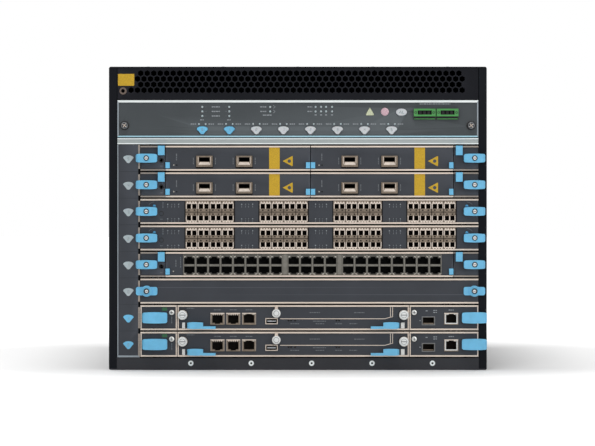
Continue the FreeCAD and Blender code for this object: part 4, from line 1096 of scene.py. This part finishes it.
def stud(trim, place, outward, radius=2.6):
    """A low screw head with a six-sided socket of painted shade, standing on a surface that faces `outward`.
    """
    out, place = Vector(outward), Vector(place)
    across = out.orthogonal().normalized()
    beside = out.cross(across)
    head, socket = ((1, -0.1), (0.92, 0.45), (0.6, 0.7)), ((0.4, 0.6), (0.4, 0.74))
    for sides, steps, finish in ((16, head, "dim_steel"), (6, socket, "black_painted_shade")):
        rings = []
        for part, lift in steps:
            outline = circle(0, 0, radius * part, sides)
            rings.append([place + out * lift + across * x + beside * z for x, z in outline])
        trim.loft(rings, finish)


def spread(low, high, count):
    return [low + (high - low) * (at + 0.5) / count for at in range(count)]


def shell_screws():
    """Screws of the cover, the side sheets and the rear wall, and the wall's bare plate."""
    cover, wall, side = Box("top_cover"), Box("rear_bulkhead"), Box("right_side_panel")
    trim = Trim(0, 0, 0, 1)
    for x in spread(cover.left, cover.right, 5):
        for y in (cover.front + 9, cover.back - 9):
            stud(trim, (x, y, cover.top), (0, 0, 1))
    for y in spread(cover.front, cover.back, 5):
        for x in (cover.left + 8, cover.right - 8):
            stud(trim, (x, y, cover.top), (0, 0, 1))
    for y in spread(side.front + 20, side.back, 6):
        for z in (side.bottom + 7, CRAFT.bottom - 8, side.top - 8):
            for outward in (-1, 1):
                stud(trim, (outward * side.right, y, z), (outward, 0, 0))
    for z in (wall.bottom + 8, wall.top - 8):
        for x in spread(wall.left, wall.right, 5):
            stud(trim, (x, wall.back, z), (0, 1, 0))
    for x in (wall.left + 8, wall.right - 8):
        for z in spread(wall.bottom + 16, wall.top - 16, 3):
            stud(trim, (x, wall.back, z), (0, 1, 0))
    middle = wall.bottom + (wall.top - wall.bottom) * 0.62
    for z in (middle - 26, middle + 26):
        trim.bar((wall.left + 26, wall.right - 26), about(z, 0.5), wall.back, "well", wall.back + 0.3)
    trim.bar(about(wall.x, 34), about(middle, 14), wall.back, "badge", wall.back + 0.2)
    trim.place("shell_screws", "chassis", "bare_steel")


def rear_grips():
    """Thumbscrews and bare plates on the rear panels of the fan tray and the air filter."""
    for node in ("fan_tray", "air_filter"):
        box = Box(node)
        trim = Trim(box.x, 0, box.back - PULL_REACH, 1)
        for z in (box.bottom + 18, box.top - 18):
            trim.turned(0, z, [(5, 0), (5, 1), (4.6, 7), (3.6, 7.6)], "steel")
            # The slot is a dark bar of painted shade.
            trim.bar((-3, 3), about(z, 0.5), 7.5, "dark", 7.7)
        trim.bar((-6, 6), (box.bottom + 34, box.bottom + 52), 0, "badge", 0.2)
        trim.disc(0, box.top - 34, 1.6, 0, "green", 0.8)
        trim.place(f"{node}_rear_trim", node, "bare_steel")


def supply_trim(index):
    """Vents, contact blades, latch, lamps and a bare plate on a power supply's rear."""
    node = f"power_supply_{index}"
    box = Box(node)
    width, height = box.right - box.left, box.top - box.bottom
    inlet, rocker = width / 4, width * 3 / 4
    trim = Trim(box.left, box.bottom, box.back - PULL_REACH, 1)
    # Vent holes drawn as discs of painted shade.
    for row in range(3):
        for x in spread(12, width - 12, 16 - row % 2):
            trim.disc(x, 45 + row * 4.4, 1.7, 0, "black_painted_shade", 0.12, sides=6)
    for x, z in ((-6, 20), (6, 20), (0, 26)):
        trim.bar(about(inlet + x, 0.9), about(z, 2.5), -16, "steel", -3)
    trim.bar(about(rocker, 0.5), (26, 31), 3, "badge", 3.15)
    trim.ring(rocker, 16.5, 2.6, 1.9, 2.9, "badge", 3.15)
    for step, finish in enumerate(("green", "clear_lens", "amber_lens")):
        trim.disc(10 + step * 6, height - 9, 1.6, 0, finish, 0.9)
    trim.bar((width - 30, width - 8), (height - 12, height - 6), 0, "badge", 0.2)
    trim.bar((width - 9, width - 2), (12, 30), 0, "blue", 3.5)
    for z in (5, height - 5):
        for x in (4.5, width - 4.5):
            stud(trim, (x, 0, z), (0, 1, 0), 1.9)
    trim.place(f"{node}_rear_trim", node, "white_plastic")


# ---------------------------------------------------------------- floor, light and camera

def plain_sheet(name, size, finish):
    mesh = bmesh.new()
    bmesh.ops.create_grid(mesh, x_segments=1, y_segments=1, size=size)
    data = bpy.data.meshes.new(name)
    mesh.to_mesh(data)
    mesh.free()
    data.materials.append(finish)
    sheet = bpy.data.objects.new(name, data)
    bpy.context.scene.collection.objects.link(sheet)
    sheet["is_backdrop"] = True


def floor_finish():
    """A white floor: shadows show near the object, and it fades to plain white away from it."""
    finish = Finish("studio_floor", (0.78, 0.78, 0.78), 0.9)
    reach = finish.add("ShaderNodeVectorMath", {}, {0: finish.where}, "LENGTH").outputs["Value"]
    values = {"From Min": 0.45, "From Max": 1.2, "To Min": 0, "To Max": 0.8}
    fade = finish.add("ShaderNodeMapRange", values, {"Value": reach}).outputs["Result"]
    seen = finish.add("ShaderNodeLightPath", {}, {}).outputs["Is Camera Ray"]
    glow = finish.add("ShaderNodeMath", {}, {0: seen, 1: fade}, "MULTIPLY").outputs["Value"]
    finish.shader.inputs["Emission Color"].default_value = (1, 1, 1, 1)
    finish.shade("Emission Strength", glow)
    return finish.material


def studio_world(strength):
    """Even white surroundings, seen as plain white by the camera and in reflections."""
    world = bpy.data.worlds.new("studio")
    world.use_nodes = True
    tree = world.node_tree
    seen = add_node(tree, "ShaderNodeLightPath", {}, {}).outputs
    wires = {0: seen["Is Camera Ray"], 1: seen["Is Glossy Ray"]}
    either = add_node(tree, "ShaderNodeMath", {}, wires, "MAXIMUM").outputs["Value"]
    level = add_node(tree, "ShaderNodeMapRange", {"To Min": strength, "To Max": 1.0}, {"Value": either})
    background = tree.nodes["Background"]
    background.inputs["Color"].default_value = (1, 1, 1, 1)
    tree.links.new(level.outputs["Result"], background.inputs["Strength"])
    bpy.context.scene.world = world


def soft_lamp(name, place, aim, size, watts):
    light = bpy.data.lights.new(name, "AREA")
    light.shape = "DISK"
    light.size = size
    light.energy = watts
    lamp = bpy.data.objects.new(name, light)
    lamp.location = place
    lamp.rotation_euler = (Vector(aim) - Vector(place)).to_track_quat("-Z", "Y").to_euler()
    bpy.context.scene.collection.objects.link(lamp)


def studio():
    low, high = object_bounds()
    middle = (Vector(low) + Vector(high)) / 2
    plain_sheet("floor", 30, floor_finish())
    studio_world(0.4)
    soft_lamp("overhead", (-0.12, 0.1, 2.3), middle, 1.6, 48)
    soft_lamp("key", (-0.3, -2.1, 2.9), middle, 1.0, 20)
    soft_lamp("fill", (1.2, -2.8, 0.9), middle, 1.8, 14)


def camera():
    """A long lens straight ahead, its axis just under the middle of the front."""
    low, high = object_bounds()
    distance = 3.2
    span = 0.6945
    data = bpy.data.cameras.new("camera")
    data.sensor_width = 36
    data.lens = data.sensor_width * distance / span
    eye = bpy.data.objects.new("camera", data)
    eye.location = (0, FRONT * MM - distance, (low[2] + high[2]) / 2 - 0.0058)
    data.shift_x = -0.0006
    eye.rotation_euler = (math.pi / 2, 0, 0)
    bpy.context.scene.collection.objects.link(eye)
    bpy.context.scene.camera = eye


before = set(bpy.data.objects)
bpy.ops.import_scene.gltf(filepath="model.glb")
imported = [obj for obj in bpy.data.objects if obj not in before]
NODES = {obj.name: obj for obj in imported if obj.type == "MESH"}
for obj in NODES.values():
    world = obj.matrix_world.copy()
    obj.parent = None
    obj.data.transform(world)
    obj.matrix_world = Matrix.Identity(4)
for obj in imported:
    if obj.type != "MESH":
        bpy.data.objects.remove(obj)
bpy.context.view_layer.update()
STRIP, CRAFT, GRILLE = Box("slot_label_strip"), Box("craft_panel"), Box("intake_grille")
SILL_FRONT = Box("base_pan").front
FRONT = STRIP.front + 0.6
CARD_LEFT, CARD_RIGHT = STRIP.right + 0.6, CRAFT.right
END_LEFT, END_RIGHT = CARD_LEFT + END_WIDTH, CARD_RIGHT - END_WIDTH
PORT_GROUPS = [CARD_LEFT + PORT_START + index * PORT_STEP for index in range(4)]
FINISHES = make_finishes()

dress_chassis()
dress_keys()
for card in (*MODULAR, "slot1"):
    dress_card(card, END_LEFT, END_RIGHT, None)
for card in FIXED:
    dress_card(card, END_LEFT, END_RIGHT + 2.5, "port", False)
for card in FABRICS:
    dress_card(card, CARD_LEFT + FABRIC_BAY[0], CARD_RIGHT - FABRIC_BAY[1], "jack_edge", False, False)
    dress_module(f"{card}_management_module", False)
    for node in pair(card, "lever") + pair(card, "ejector"):
        dress_lever(node)
for card in MODULAR:
    for node in pair(card, "module"):
        dress_module(node)
dress_module("slot1_copper_module", metal="jack_metal")
for card in LINE_CARDS:
    for node in pair(card, "lever"):
        dress_lever(node, True)
dress_blank_panel()
dress_rear()

grille_trim()
craft_trim()
key_trim()
terminal_trim()
strip_trim()
notch_trim()
for card in LINE_CARDS:
    card_ends(card, card in FIXED)
    for node in pair(card, "lever"):
        lever_trim(node)
for card in MODULAR:
    for node in pair(card, "module"):
        optical_trim(node)
for card in FIXED:
    duplex_trim(card)
copper_trim()
blank_trim()
for card in FABRICS:
    management_trim(card)
    fabric_trim(card)
    for node in pair(card, "lever"):
        lever_trim(node, False)
shell_screws()
rear_grips()
for supply in range(4):
    supply_trim(supply)

studio()
camera()
bpy.context.scene.view_settings.view_transform = "Standard"
